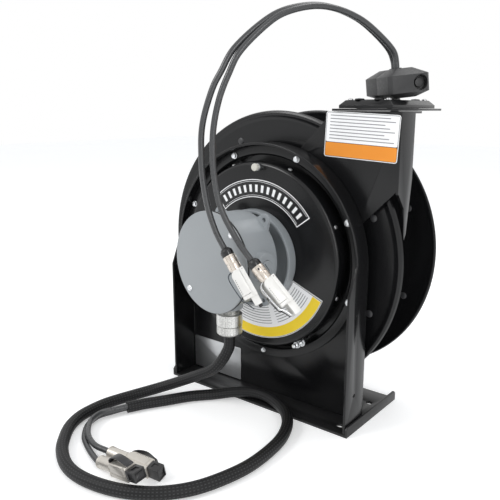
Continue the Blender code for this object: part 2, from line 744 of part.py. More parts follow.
def build_junction_box():
    frame = box_matrix()
    front = box_rear_y - box_depth
    inner = box_radius - box_wall
    shoulder = box_rear_y - 0.009
    bore = nipple_radius - box_wall
    nipple_end = box_rear_y + nipple_length
    profile = ((bore, nipple_end), (nipple_radius, nipple_end), (nipple_radius, box_rear_y),
               (box_rear_radius, box_rear_y), (box_radius - 0.001, shoulder), (box_radius, front), (inner, front),
               (inner, shoulder), (box_rear_radius - 0.002, box_rear_y - box_wall), (bore, box_rear_y - box_wall))
    bm = bmesh.new()
    add_revolve(bm, profile, 36, frame)
    box = finish_object("junction_box", bm, grey_casting)
    parts = bmesh.new()
    port_y = box_rear_y - port_depth
    down = frame @ Matrix.Translation((0.0, port_y, 0.0)) @ Matrix.Rotation(math.radians(-90), 4, "X")
    side = frame @ Matrix.Translation((0.0, port_y, 0.0)) @ Matrix.Rotation(math.radians(-90), 4, "Z")
    for matrix in (down, side):
        add_revolve(parts, cylinder_profile(port_radius, inner - 0.002, port_reach), 20, matrix)
    for angle in ear_angles:
        add_prism(parts, ear_outline(math.radians(angle)), shoulder - ear_thickness, shoulder, "Y", frame)
    join(box, "join_box_lugs", parts)
    holes = bmesh.new()
    for angle in ear_angles:
        turn = math.radians(angle)
        spot = Matrix.Translation((ear_reach * math.cos(turn), 0.0, ear_reach * math.sin(turn)))
        add_revolve(holes, cylinder_profile(ear_hole, shoulder - ear_thickness - 0.002, shoulder + 0.002), 10,
                    frame @ spot)
    add_revolve(holes, cylinder_profile(plug_face_radius + gap, port_reach - 0.004, port_reach + 0.002), 20, side)
    cut(box, "cut_box_holes", holes)
    bm = bmesh.new()
    add_revolve(bm, tube_profile(inner, box_radius - 0.0005, front - gasket_thickness - gap, front - gap), 32, frame)
    finish_object("box_gasket", bm, gasket_rubber)
    plate_back = front - gasket_thickness - 2.0 * gap
    plate_front = plate_back - cover_plate_thickness
    bm = bmesh.new()
    rim = cover_plate_radius
    profile = ((0.0, plate_front), (rim - 0.001, plate_front), (rim, plate_front + 0.001), (rim, plate_back),
               (0.0, plate_back))
    add_revolve(bm, profile, 36, frame)
    plate = finish_object("box_cover", bm, grey_casting)
    screws = bmesh.new()
    for angle in cover_screw_angles:
        turn = math.radians(angle)
        reach = cover_plate_radius - cover_screw_inset
        spot = Matrix.Translation((reach * math.cos(turn), plate_front, reach * math.sin(turn)))
        profile = ((0.0, -0.0022), (0.0020, -0.0020), (0.0036, -0.0008), (0.0038, 0.001), (0.0, 0.001))
        add_revolve(screws, profile, 10, frame @ spot)
    join(plate, "join_cover_screws", screws)
    bm = bmesh.new()
    add_revolve(bm, cylinder_profile(plug_face_radius, port_reach - 0.004 + gap, port_reach + 0.001), 20, side)
    plug = finish_object("closure_plug", bm, grey_casting)
    slot = bmesh.new()
    add_box(slot, (-0.0008, port_reach - 0.0005, -0.0062), (0.0008, port_reach + 0.002, 0.0062),
            side @ Matrix.Rotation(math.radians(40), 4, "Y"))
    cut(plug, "cut_plug_slot", slot)
    build_gland(down)


def build_gland(down):
    """The gland hangs under the box: a threaded collar, a body and a clamping nut."""
    start = port_reach + gap
    body_low = start + gland_collar_length
    body_high = body_low + gland_length
    profile = ((0.0, start), (gland_collar_radius, start), (gland_collar_radius, body_low),
               (gland_radius - 0.001, body_low), (gland_radius, body_low + 0.001), (gland_radius, body_high),
               (0.0, body_high))
    bm = bmesh.new()
    add_revolve(bm, profile, 24, down)
    finish_object("cable_gland", bm, zinc)
    nut_low = body_high + gap
    nut_high = nut_low + gland_nut_length
    profile = ((0.0, nut_low), (gland_radius - 0.0004, nut_low), (gland_radius - 0.0004, nut_high - 0.0015),
               (gland_radius - 0.002, nut_high), (0.0, nut_high))
    bm = bmesh.new()
    add_revolve(bm, profile, 24, down)
    finish_object("gland_nut", bm, zinc)


def opening_box(bm, low_z, high_z):
    low = (guide_x - guide_opening_x / 2.0, spool_middle_y - guide_opening_y / 2.0, low_z)
    high = (guide_x + guide_opening_x / 2.0, spool_middle_y + guide_opening_y / 2.0, high_z)
    add_box(bm, low, high)


def build_guide_arm():
    front = web_back_y + gap
    back = front + arm_sheet
    outline = ((arm_left_x, arm_top_z), (arm_right_x, arm_top_z), (arm_right_x, arm_corner_z),
               (arm_right_x - arm_corner_cut, arm_corner_z - arm_corner_cut), (arm_low_x, arm_low_z),
               (arm_left_low_x, arm_left_low_z), (arm_waist_x, arm_waist_z), (arm_shoulder_x, arm_shoulder_z),
               (arm_neck_x, arm_neck_z), (arm_left_x, arm_notch_z))
    bm = bmesh.new()
    add_prism(bm, outline, front, back)
    arm = finish_object("guide_arm", bm, black_coat)
    parts = bmesh.new()
    rear = front + arm_flange_depth
    tongue_front = near_disc_y + disc_sheet + disc_roll + arm_tongue_clearance
    flange = ((front, arm_top_z), (rear, arm_top_z), (rear, arm_corner_z + 0.01),
              (tongue_front + arm_tongue_width, arm_flange_step_z),
              (tongue_front + arm_tongue_width / 3.0, arm_flange_low_z), (tongue_front, arm_flange_step_z),
              (tongue_front - 0.002, arm_flange_neck_z), (back - 0.001, arm_flange_start_z),
              (front, arm_flange_start_z))
    add_prism(parts, flange, arm_right_x - arm_sheet, arm_right_x, "X")
    shelf_low = arm_top_z - arm_shelf_sheet
    add_box(parts, (arm_left_x, front, shelf_low), (arm_right_x, arm_shelf_reach_y, arm_top_z))
    join(arm, "join_arm_flange", parts)
    hole = bmesh.new()
    opening_box(hole, arm_top_z - 0.01, arm_top_z + 0.01)
    for turn in bolt_turns():
        spot = spoke(bolt_circle, turn)
        add_revolve(hole, cylinder_profile(bolt_hole_radius + 0.002, front - 0.002, back + 0.002), 10,
                    Matrix.Translation(spot))
    cut(arm, "cut_arm_opening", hole)


def tray_levels():
    plate_low = arm_top_z + gap
    plate_high = plate_low + tray_plate_sheet
    tray_low = plate_high + gap
    return plate_low, plate_high, tray_low, tray_low + tray_height


def roller_axes():
    """Names, centres, directions and half lengths of the four guide rollers."""
    top = tray_levels()[3]
    high = top - roller_radius + 0.0008
    low = high - roller_height_step
    long_half = short_roller_offset - roller_radius - run_clearance
    short_half = long_roller_offset - roller_radius - run_clearance
    return (
        ("roller_front", (guide_x, spool_middle_y - long_roller_offset, high), "X", long_half),
        ("roller_rear", (guide_x, spool_middle_y + long_roller_offset, high), "X", long_half),
        ("roller_inner", (guide_x - short_roller_offset, spool_middle_y, low), "Y", short_half),
        ("roller_outer", (guide_x + short_roller_offset, spool_middle_y, low), "Y", short_half),
    )


def along_axis(axis):
    if axis == "X":
        return Matrix.Rotation(math.radians(-90), 4, "Z")
    return Matrix.Identity(4)


def build_roller_tray():
    plate_low, plate_high, tray_low, tray_high = tray_levels()
    half_x = tray_length / 2.0 + tray_plate_overhang
    half_y = tray_width / 2.0 + tray_plate_lip
    bm = bmesh.new()
    add_box(bm, (guide_x - half_x, spool_middle_y - half_y, plate_low),
            (guide_x + half_x, spool_middle_y + half_y, plate_high))
    plate = finish_object("roller_plate", bm, black_coat)
    hole = bmesh.new()
    opening_box(hole, plate_low - 0.01, plate_high + 0.01)
    cut(plate, "cut_plate_opening", hole)
    half_x = tray_length / 2.0
    half_y = tray_width / 2.0
    left = guide_x - half_x
    right = guide_x + half_x
    outline = ((left, tray_low), (right, tray_low), (right, tray_high - tray_chamfer),
               (right - tray_chamfer, tray_high), (left + tray_chamfer, tray_high),
               (left, tray_high - tray_chamfer))
    bm = bmesh.new()
    add_prism(bm, outline, spool_middle_y - half_y, spool_middle_y + half_y)
    tray = finish_object("roller_tray", bm, black_coat)
    hole = bmesh.new()
    opening_box(hole, tray_low - 0.01, tray_high + 0.01)
    beyond = 0.002
    for end in (-1, 1):
        face = spool_middle_y + end * half_y
        outline = ((face - end * tray_chamfer, tray_high), (face - end * tray_chamfer, tray_high + beyond),
                   (face + end * beyond, tray_high + beyond), (face + end * beyond, tray_high - tray_chamfer),
                   (face, tray_high - tray_chamfer))
        add_prism(hole, outline, left - beyond, right + beyond, "X")
    cut(tray, "cut_tray_opening", hole)
    seats = bmesh.new()
    for name, centre, axis, half in roller_axes():
        wall = (guide_opening_x if axis == "X" else guide_opening_y) / 2.0
        reach = wall + pin_seat_depth
        add_revolve(seats, cylinder_profile(roller_pin_radius + gap, -reach - gap, reach + gap), 8,
                    Matrix.Translation(centre) @ along_axis(axis))
        build_roller(name, centre, axis, half, reach)
    cut(tray, "cut_tray_seats", seats)


def build_roller(name, centre, axis, half, reach):
    """A plastic roller whose stub ends turn in the tray's walls."""
    bm = bmesh.new()
    stub = roller_pin_radius
    profile = ((0.0, -reach), (stub, -reach), (stub, -half), (roller_radius, -half), (roller_radius, half),
               (stub, half), (stub, reach), (0.0, reach))
    add_revolve(bm, profile, 12, along_axis(axis))
    finish_object(name, bm, roller_plastic, centre)


def stop_matrix():
    """Local frame of the ball stop, which leans on its leads, from the middle of its underside."""
    place = (stop_x, stop_y, tray_levels()[3] + stop_seat)
    return (Matrix.Translation(place) @ Matrix.Rotation(stop_turn, 4, "Z")
            @ Matrix.Rotation(-stop_tilt, 4, "Y"))


def build_ball_stop():
    """Two like moulded halves, sloped above and below, bolted together round the leads."""
    levels = ((0.0, stop_low_inset), (stop_low_level, 0.0), (stop_high_level, 0.0), (stop_height, stop_high_inset))
    bolt_height = (stop_low_level + stop_high_level) / 2.0
    for side, name in ((1, "ball_stop_rear_half"), (-1, "ball_stop_front_half")):
        bm = bmesh.new()
        rings = []
        for height, inset in levels:
            half_x = stop_width / 2.0 - inset
            half_y = stop_length / 2.0 - inset
            clip = stop_corner_clip
            outline = ((-half_x, gap / 2.0), (half_x, gap / 2.0), (half_x, half_y - clip),
                       (half_x - clip, half_y), (-half_x + clip, half_y), (-half_x, half_y - clip))
            rings.append([bm.verts.new((x, side * y, height)) for x, y in outline])
        bm.faces.new(rings[0])
        bm.faces.new(list(reversed(rings[-1])))
        for lower, upper in zip(rings, rings[1:]):
            for index in range(len(lower)):
                after = (index + 1) % len(lower)
                bm.faces.new((lower[index], lower[after], upper[after], upper[index]))
        bmesh.ops.transform(bm, matrix=stop_matrix(), verts=bm.verts)
        half = finish_object(name, bm, stop_rubber)
        recess = bmesh.new()
        heads = bmesh.new()
        spot = stop_matrix() @ Matrix.Translation((-side * stop_bolt_offset, 0.0, bolt_height))
        low = stop_length / 2.0 - stop_bolt_depth
        turned = spot if side == 1 else spot @ Matrix.Rotation(math.pi, 4, "Z")
        add_revolve(recess, cylinder_profile(stop_bolt_recess, low, stop_length / 2.0 + 0.004), 20, turned)
        profile = ((0.0, low - 0.001), (0.0048, low - 0.001), (0.0048, low + 0.004), (0.0, low + 0.004))
        add_revolve(heads, profile, 12, turned)
        cut(half, "cut_" + name, recess)
        join(half, "join_bolts_" + name, heads)


def disc_profile(outwards):
    """A flat disc with a rolled rim; outwards is -1 for the near disc and +1 for the far one."""
    inner_face = 0.0
    outer_face = outwards * disc_sheet
    hole = spindle_radius + gap
    roll = disc_roll
    return ((hole, outer_face), (disc_radius - 2.5 * roll, outer_face),
            (disc_radius - 1.5 * roll, outer_face + outwards * roll * 0.7),
            (disc_radius - 0.3 * roll, outer_face + outwards * roll * 0.4),
            (disc_radius, inner_face + outwards * 0.001),
            (disc_radius - 0.7 * roll, inner_face - outwards * roll * 0.4),
            (disc_radius - 2.0 * roll, inner_face), (hole, inner_face))


def build_spool():
    near_inner = near_disc_y + disc_sheet
    far_inner = far_disc_y
    for name, outwards, inner in (("near_disc", -1, near_inner), ("far_disc", 1, far_inner)):
        bm = bmesh.new()
        add_revolve(bm, disc_profile(outwards), 56, Matrix.Translation((0.0, inner, 0.0)))
        disc = finish_object(name, bm, black_coat, (0.0, 0.0, 0.0), spool_axis)
        join(disc, "join_" + name + "_rivets", disc_rivets(inner, outwards))
    low = near_inner + gap
    high = far_inner - gap
    bm = bmesh.new()
    hub = spindle_radius + gap
    hub_wall = hub + drum_wall
    web_low = (low + high) / 2.0 - drum_wall / 2.0
    web_high = web_low + drum_wall
    profile = ((drum_radius, low), (drum_radius, high), (drum_radius - drum_wall, high),
               (drum_radius - drum_wall, web_high), (hub_wall, web_high), (hub_wall, high), (hub, high),
               (hub, low), (hub_wall, low), (hub_wall, web_low), (drum_radius - drum_wall, web_low),
               (drum_radius - drum_wall, low))
    add_revolve(bm, profile, 28)
    finish_object("drum", bm, black_coat, (0.0, 0.0, 0.0), spool_axis)
    bm = bmesh.new()
    pack_outer = winding_radius * math.cos(math.pi / loop_points) - cable_diameter / 2.0 - gap
    add_revolve(bm, tube_profile(drum_radius + gap, pack_outer, low, high), 36)
    finish_object("cable_pack", bm, cable_jacket, (0.0, 0.0, 0.0), spool_axis)
    build_spindle()
    build_winding(low, high)
    build_ratchet()


def build_spindle():
    bm = bmesh.new()
    front = cover_front_y - 0.012
    rear = far_disc_y + disc_sheet + 0.010
    nut = spindle_radius * 1.6
    nut_low = far_disc_y + disc_sheet + gap
    profile = ((0.0, front), (spindle_radius - 0.001, front), (spindle_radius, front + 0.001),
               (spindle_radius, nut_low), (nut, nut_low), (nut, nut_low + 0.007), (spindle_radius, nut_low + 0.007),
               (spindle_radius, rear), (0.0, rear))
    add_revolve(bm, profile, 20)
    finish_object("spindle", bm, steel, (0.0, 0.0, 0.0), spool_axis)
    bm = bmesh.new()
    low = cover_front_y + bearing_width + 2.0 * run_clearance
    high = web_back_y - 0.0055 - run_clearance
    add_revolve(bm, tube_profile(spindle_radius + gap, arbor_radius, low, high), 20)
    finish_object("spring_arbor", bm, steel, (0.0, 0.0, 0.0), spool_axis)


def disc_rivets(inner, outwards):
    """Rivets through a disc, with heads on both faces."""
    bm = bmesh.new()
    head = rivet_radius
    height = rivet_height
    low = inner - outwards * height
    high = inner + outwards * (disc_sheet + height)
    profile = ((0.0, low), (head * 0.7, low), (head, low + outwards * height), (head, high - outwards * height),
               (head * 0.7, high), (0.0, high))
    for index in range(disc_rivet_count):
        turn = 2.0 * math.pi * (index + 0.5) / disc_rivet_count
        spot = Matrix.Translation((rivet_circle * math.cos(turn), 0.0, rivet_circle * math.sin(turn)))
        add_revolve(bm, profile, 6, spot)
    return bm


def winding_points(first_y, lead):
    """One lead's outer layer: a helix whose ends run straight for one diameter."""
    pitch = winding_pitch * winding_cables
    steps = round(turns_per_cable * loop_points)
    helix = []
    for step in range(steps + 1):
        turn = 2.0 * math.pi * step / loop_points
        along = first_y + lead * winding_pitch + pitch * step / loop_points
        helix.append(Vector((winding_radius * math.cos(turn), along, winding_radius * math.sin(turn))))
    start = helix[0] - (helix[1] - helix[0]).normalized() * cable_diameter
    end = helix[-1] + (helix[-1] - helix[-2]).normalized() * cable_diameter
    return [start] + helix + [end]


def least_self_gap(points, diameter):
    """Least distance between turns of one tube, less its diameter."""
    places = np.array([tuple(point) for point in points])
    least = float("inf")
    skip = loop_points // 2
    for index in range(len(places) - skip):
        distances = np.linalg.norm(places[index + skip:] - places[index], axis=1)
        least = min(least, float(distances.min()))
    return least - diameter


def build_winding(low, high):
    whole = winding_pitch * winding_cables * turns_per_cable + (winding_cables - 1) * winding_pitch
    first = (low + high) / 2.0 - whole / 2.0
    lines = [winding_points(first, lead) for lead in range(winding_cables)]
    for name, line in zip(("wound_cable_a", "wound_cable_b"), lines):
        print(name, "least gap between its turns, mm:", round(least_self_gap(line, cable_diameter) * 1000.0, 2))
        make_tube(name, line, cable_diameter, cable_jacket, 1, spool_axis)


def build_ratchet():
    """A notched wheel behind the web, turning with the spool."""
    low = near_disc_y - gap - ratchet_thickness
    points = []
    half = notch_width / 2.0 / ratchet_radius
    for index in range(ratchet_notches):
        middle = 2.0 * math.pi * index / ratchet_notches
        for turn, radius in ((middle - half, ratchet_radius), (middle - half, ratchet_radius - notch_depth),
                             (middle + half, ratchet_radius - notch_depth), (middle + half, ratchet_radius)):
            points.append((radius * math.cos(turn), radius * math.sin(turn)))
    bm = bmesh.new()
    add_prism(bm, points, low, low + ratchet_thickness)
    wheel = finish_object("ratchet_wheel", bm, steel, (0.0, 0.0, 0.0), spool_axis)
    bore = bmesh.new()
    add_revolve(bore, cylinder_profile(spindle_radius + gap, low - 0.002, low + ratchet_thickness + 0.002), 20)
    cut(wheel, "cut_ratchet_bore", bore)


def pawl_pivot():
    """The pawl's arm meets the engaged notch's radius square on, so its claw swings straight in."""
    hub = ratchet_radius - 0.002
    notch = pawl_notch_angle
    across = Vector((math.sin(notch), 0.0, -math.cos(notch)))
    return spoke(hub, notch) - across * pawl_reach


def build_pawl():
    """A hooked lever on a pin in the web, resting with its claw swung out of the ratchet wheel's notch."""
    low = near_disc_y - gap - ratchet_thickness
    reach = pawl_reach
    claw = 0.002 - pawl_claw_depth
    outline = arc_points((0.0, 0.0), pawl_boss, 60.0, 300.0, 10)
    outline += [(reach * 0.40, -0.0020), (reach * 0.68, 0.0032), (reach - 0.0030, 0.0042),
                (reach - 0.0024, claw), (reach + 0.0024, claw), (reach + 0.0032, 0.0085), (reach * 0.60, 0.0085)]
    rest_turn = pawl_notch_angle - math.radians(90.0) + pawl_swing
    turned = Matrix.Rotation(-rest_turn, 4, "Y")
    bm = bmesh.new()
    add_prism(bm, outline, low, low + ratchet_thickness, "Y", turned)
    pivot = pawl_pivot()
    pawl = finish_object("pawl", bm, steel, (pivot.x, 0.0, pivot.z))
    bore = bmesh.new()
    add_revolve(bore, cylinder_profile(pawl_pin_radius + gap, low - 0.002, low + ratchet_thickness + 0.002), 14)
    cut(pawl, "cut_pawl_bore", bore)
    print("pawl pivot", [round(value, 5) for value in pivot])


def build_pawl_pin(upright):
    """The pawl's pin is riveted through the web, with a flat head in front."""
    pivot = pawl_pivot()
    tail = near_disc_y - gap - 0.0005
    front = frame_front_inner_y - 0.001
    shoulder = frame_front_inner_y + 0.0005
    head = pawl_pin_radius + 0.001
    profile = ((0.0, front), (head, front), (head, shoulder), (pawl_pin_radius, shoulder),
               (pawl_pin_radius, tail), (0.0, tail))
    bm = bmesh.new()
    add_revolve(bm, profile, 14, Matrix.Translation(pivot))
    join(upright, "join_pawl_pin", bm)


def build_nameplate():
    """A blank rating plate on the web, below and left of the spring case."""
    bm = bmesh.new()
    back = frame_front_inner_y - gap
    add_box(bm, (nameplate_left_x, back - nameplate_sheet, nameplate_low_z),
            (nameplate_left_x + nameplate_width, back, nameplate_low_z + nameplate_height))
    finish_object("nameplate", bm, zinc)


def plug_matrix(entry, towards, lever_side):
    """Local Y runs from the cable entry to the nose and local Z to the lever's side."""
    along = (Vector(towards) - Vector(entry)).normalized()
    side = Vector(lever_side)
    up = (side - along * side.dot(along)).normalized()
    across = along.cross(up)
    turned = Matrix((across, along, up)).transposed().to_4x4()
    return Matrix.Translation(entry) @ turned


def plug_stations():
    """Distances from the cable entry to the ends of the cap, gland, shell and nose."""
    cap = plug_cap_length
    gland = cap + plug_gland_length
    shell = gland + plug_shell_length
    return cap, gland, shell, shell + plug_nose_length


def shell_outline():
    """The shell from the side: its corner under the lever's root is rounded away."""
    gland_end, shell_end = plug_stations()[1:3]
    low = -plug_shell_height / 2.0
    high = plug_shell_height / 2.0
    radius = plug_corner_radius
    corner = arc_points((gland_end + radius, high - radius), radius, 180.0, 90.0, plug_corner_steps)
    return [(gland_end, low), *corner, (shell_end, high), (shell_end, low)]


def barrel_profile():
    """The cap and the ridged gland behind the shell."""
    cap_end, gland_end = plug_stations()[:2]
    neck = plug_barrel - 0.0008
    profile = [(0.0, 0.0), (plug_barrel - 0.0022, 0.0), (plug_barrel, 0.003), (plug_barrel, cap_end),
               (neck, cap_end)]
    for ridge in range(plug_ridges):
        ridge_start = cap_end + plug_gland_length * ridge / plug_ridges
        ridge_end = cap_end + plug_gland_length * (ridge + 1) / plug_ridges
        profile += [(plug_barrel, ridge_start + 0.0012), (plug_barrel, ridge_end - 0.0010), (neck, ridge_end)]
    return profile + [(neck, gland_end + 0.002), (0.0, gland_end + 0.002)]


def build_plugs():
    """Each plug is a cap, a ridged gland, a shell and a nose, with a sprung latch lever along the shell."""
    shell_end, nose_end = plug_stations()[2:]
    half = plug_shell_width / 2.0
    for name, entry, towards, lever_side in plug_places:
        is_output = name.startswith("output")
        nose_width = output_nose_width if is_output else input_nose_width
        nose_height = output_nose_height if is_output else input_nose_height
        line = output_lever_line if is_output else input_lever_line
        place = plug_matrix(entry, towards, lever_side)
        bm = bmesh.new()
        add_prism(bm, shell_outline(), -half, half, "X", place)
        plug = finish_object(name, bm, nickel)
        ends = bmesh.new()
        add_revolve(ends, barrel_profile(), 12, place)
        nose_low = -nose_height / 2.0 - (nose_drop if is_output else 0.0)
        add_box(ends, (-nose_width / 2.0, shell_end - 0.001, nose_low),
                (nose_width / 2.0, nose_end, nose_low + nose_height), place)
        join(plug, "join_" + name, ends)
        build_lever(name, place, line)


def build_lever(name, place, line):
    """A bent strip that turns about its root at the gland's end of the shell."""
    points = [Vector(point) for point in line]
    root = points[0]
    above = []
    below = []
    for index, point in enumerate(points):
        along = points[min(index + 1, len(points) - 1)] - points[max(index - 1, 0)]
        across = Vector((-along.y, along.x)).normalized() * lever_thickness / 2.0
        above.append(tuple(point - root + across))
        below.append(tuple(point - root - across))
    bm = bmesh.new()
    add_prism(bm, below + list(reversed(above)), -lever_width / 2.0, lever_width / 2.0, "X")
    pivot = place @ Vector((0.0, plug_stations()[1] + root.x, plug_shell_height / 2.0 + root.y))
    lever = finish_object(name + "_lever", bm, plug_black)
    lever.matrix_world = Matrix.Translation(pivot) @ place.to_3x3().to_4x4()
    print(name, "lever hinge", [round(value, 5) for value in pivot], "axis",
          [round(value, 5) for value in place.to_3x3() @ Vector((1.0, 0.0, 0.0))])


def straight_end(place, direction, diameter):
    """The end of a cord at a piece's face, and a point one diameter straight out from it."""
    out = Vector(direction).normalized()
    end = Vector(place) + out * gap
    return end, end + out * diameter


def stop_exit(side):
    """Where a lead leaves the top of the ball stop."""
    place = stop_matrix() @ Vector((0.0, side * stop_cord_offset, stop_height))
    return straight_end(place, stop_matrix().to_3x3() @ Vector((0.0, 0.0, 1.0)), cable_diameter)


def sleeve_exit(side):
    """Where a lead leaves the end of the braided sleeve."""
    end = Vector(sleeve_route[-1])
    along = (end - Vector(sleeve_route[-2])).normalized()
    across = along.cross(Vector((0.0, 0.0, 1.0))).normalized()
    place = end + side * (across * sleeve_cord_side - Vector((0.0, 0.0, sleeve_cord_rise)))
    return straight_end(place, along, cable_diameter)


def plug_entry(wanted):
    """Where a lead meets a plug's cap."""
    for name, entry, towards, lever_side in plug_places:
        if name == wanted:
            return straight_end(entry, Vector(entry) - Vector(towards), cable_diameter)


def gland_mouth():
    """The end of the gland's nut, where the sleeve comes out."""
    drop = port_reach + gland_collar_length + gland_length + gland_nut_length + 2.0 * gap
    place = box_matrix() @ Vector((0.0, box_rear_y - port_depth, -drop))
    return straight_end(place, (0.0, 0.0, -1.0), sleeve_diameter)


def build_cords():
    step = cable_diameter * cord_step_diameters
    cords = (
        ("output_cord_a", stop_exit(1), output_a_route, plug_entry("output_plug_a")),
        ("output_cord_b", stop_exit(-1), output_b_route, plug_entry("output_plug_b")),
        ("input_cord_a", sleeve_exit(1), input_a_route, plug_entry("input_plug_a")),
        ("input_cord_b", sleeve_exit(-1), input_b_route, plug_entry("input_plug_b")),
    )
    for name, start, route, end in cords:
        points = cord_points(start, route, end, step)
        make_tube(name, points, cable_diameter, cable_jacket)
        print(name, "length", round(path_length(points), 4))
    end = Vector(sleeve_route[-1])
    before = end - (end - Vector(sleeve_route[-2])).normalized() * sleeve_diameter
    points = cord_points(gland_mouth(), sleeve_route[:-1], (end, before), sleeve_diameter * cord_step_diameters)
    make_tube("input_sleeve", points, sleeve_diameter, braid)
    print("input_sleeve length", round(path_length(points), 4))
    build_feed_run()


def build_feed_run():
    """The two leads leave the winding as the start of its next layer and rise to the ball stop."""
    outside = winding_radius + cable_diameter + feed_clearance
    underside = stop_matrix().translation
    for side, name in ((-1, "feed_cable_a"), (1, "feed_cable_b")):
        along = spool_middle_y + side * winding_pitch / 2.0
        across_stop = (along - stop_y) * math.sin(stop_turn) - cable_diameter / 2.0
        top = underside.z + across_stop * math.tan(stop_tilt) - gap
        lead_in = []
        for degrees in range(-48, 1, 8):
            lead_in.append(spoke(outside, math.radians(degrees), along))
        rise = []
        for share in (0.25, 0.5, 0.75, 1.0):
            across = outside + (stop_x - outside) * share ** 2
            rise.append(Vector((across, along, axis_height + (top - axis_height) * share)))
        make_tube(name, lead_in + rise, cable_diameter, cable_jacket)


build_base_foot()
build_frame_upright()
build_nameplate()
build_clamp_ring()
build_frame_bolts()
build_spring_cover()
build_cover_fasteners()
build_power_spring()
build_bearings()
build_slip_ring()
build_junction_box()
build_guide_arm()
build_roller_tray()
build_ball_stop()
build_spool()
build_pawl()
build_plugs()
build_cords()
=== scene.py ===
"""Looks of a spring driven cable reel with a pedestal frame, two data leads and a junction box.

Units are metres, +Z is up, the reel's axis runs along Y and the junction box is towards -Y.
"""
import math

import bmesh
import bpy
from mathutils import Matrix, Vector


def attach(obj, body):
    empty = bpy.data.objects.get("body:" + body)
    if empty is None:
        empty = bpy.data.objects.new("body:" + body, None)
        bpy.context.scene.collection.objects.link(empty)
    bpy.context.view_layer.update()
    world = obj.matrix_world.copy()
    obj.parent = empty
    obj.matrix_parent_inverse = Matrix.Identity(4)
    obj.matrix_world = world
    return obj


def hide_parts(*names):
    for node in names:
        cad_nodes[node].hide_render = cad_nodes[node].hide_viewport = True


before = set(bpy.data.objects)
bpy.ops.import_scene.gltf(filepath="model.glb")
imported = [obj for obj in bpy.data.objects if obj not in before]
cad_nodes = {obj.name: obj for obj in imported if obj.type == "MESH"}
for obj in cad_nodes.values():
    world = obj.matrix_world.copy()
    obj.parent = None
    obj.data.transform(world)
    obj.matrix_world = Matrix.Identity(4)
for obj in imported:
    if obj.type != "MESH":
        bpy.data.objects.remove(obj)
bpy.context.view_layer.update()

# Sizes that repeat the part's own
gap = 0.0003
axis_height = 0.1964
axis_place = Vector((0.0, 0.0, axis_height))
frame_half_width = 0.140
frame_sheet = 0.003
web_back_y = -0.021
web_front_y = web_back_y - frame_sheet
flange_front_y = -0.0635
rim_front_y = -0.047
rim_start_z = 0.167
disc_radius = 0.178
disc_sheet = 0.0025
disc_roll = 0.0035
near_disc_y = -0.012
disc_inner_width = 0.091
far_disc_y = near_disc_y + disc_sheet + disc_inner_width
spool_middle_y = near_disc_y + disc_sheet + disc_inner_width / 2.0
rivet_circle = 0.150
rivet_count = 8
spindle_radius = 0.012
drum_radius = 0.060
drum_wall = 0.003
cover_radius = 0.1175
cover_front_y = -0.052
cover_sheet = 0.002
cover_edge = 0.005
cover_hole = 0.0213
clamp_inner_radius = 0.1245
clamp_front_y = -0.036
clamp_sheet = 0.002
bolt_circle = 0.1305
bolt_angles_from_top = (21.5, -21.5, 66.0, -66.0, 108.0, -108.0, 180.0)
bolt_hole_radius = 0.0032
anchor_angle = math.radians(-60.4)
anchor_radius = 0.121
cover_pin_angle = math.radians(88.0)
ring_radius = 0.060
ring_wall = 0.0035
ring_front_y = -0.066
box_swivel = math.radians(-6.0)
box_height = 0.202
box_rear_y = -0.068
box_depth = 0.059
box_radius = 0.0565
box_rear_radius = 0.047
box_wall = 0.0035
box_shoulder = 0.009
nipple_radius = 0.026
nipple_length = 0.0105
gasket_thickness = 0.0016
cover_plate_radius = 0.0605
cover_plate_thickness = 0.003
port_depth = 0.033
port_radius = 0.0165
port_reach = 0.0615
ear_angles = (52.0, 128.0, 232.0, 308.0)
ear_reach = 0.0615
ear_radius = 0.0075
ear_hole = 0.0028
ear_thickness = 0.004
plug_face_radius = 0.0078
gland_collar_radius = 0.0125
gland_collar_length = 0.006
gland_radius = 0.0159
gland_length = 0.0145
gland_nut_length = 0.0120
nut_rib_count = 56
cable_diameter = 0.0066
winding_radius = 0.1165
winding_pitch = 0.0069
turns_per_cable = 5.5
winding_cables = 2
feed_clearance = 0.002
guide_x = 0.1265
tray_length = 0.066
tray_width = 0.114
tray_height = 0.0090
tray_low_z = 0.3766
stop_height = 0.0322
stop_turn = math.radians(48.7)
stop_tilt = math.radians(6.6)
stop_x = 0.1357
stop_y = 0.0385
stop_seat = 0.0028
stop_cord_offset = 0.0036
sleeve_diameter = 0.0140
sleeve_cord_side = 0.0026
sleeve_cord_rise = 0.0024
plug_cap_length = 0.009
plug_gland_length = 0.017
plug_shell_length = 0.034
plug_nose_length = 0.0145
plug_barrel = 0.0070
plug_shell_width = 0.0135
plug_shell_height = 0.0160
plug_corner_radius = 0.007
lever_width = 0.0086
lever_thickness = 0.0010

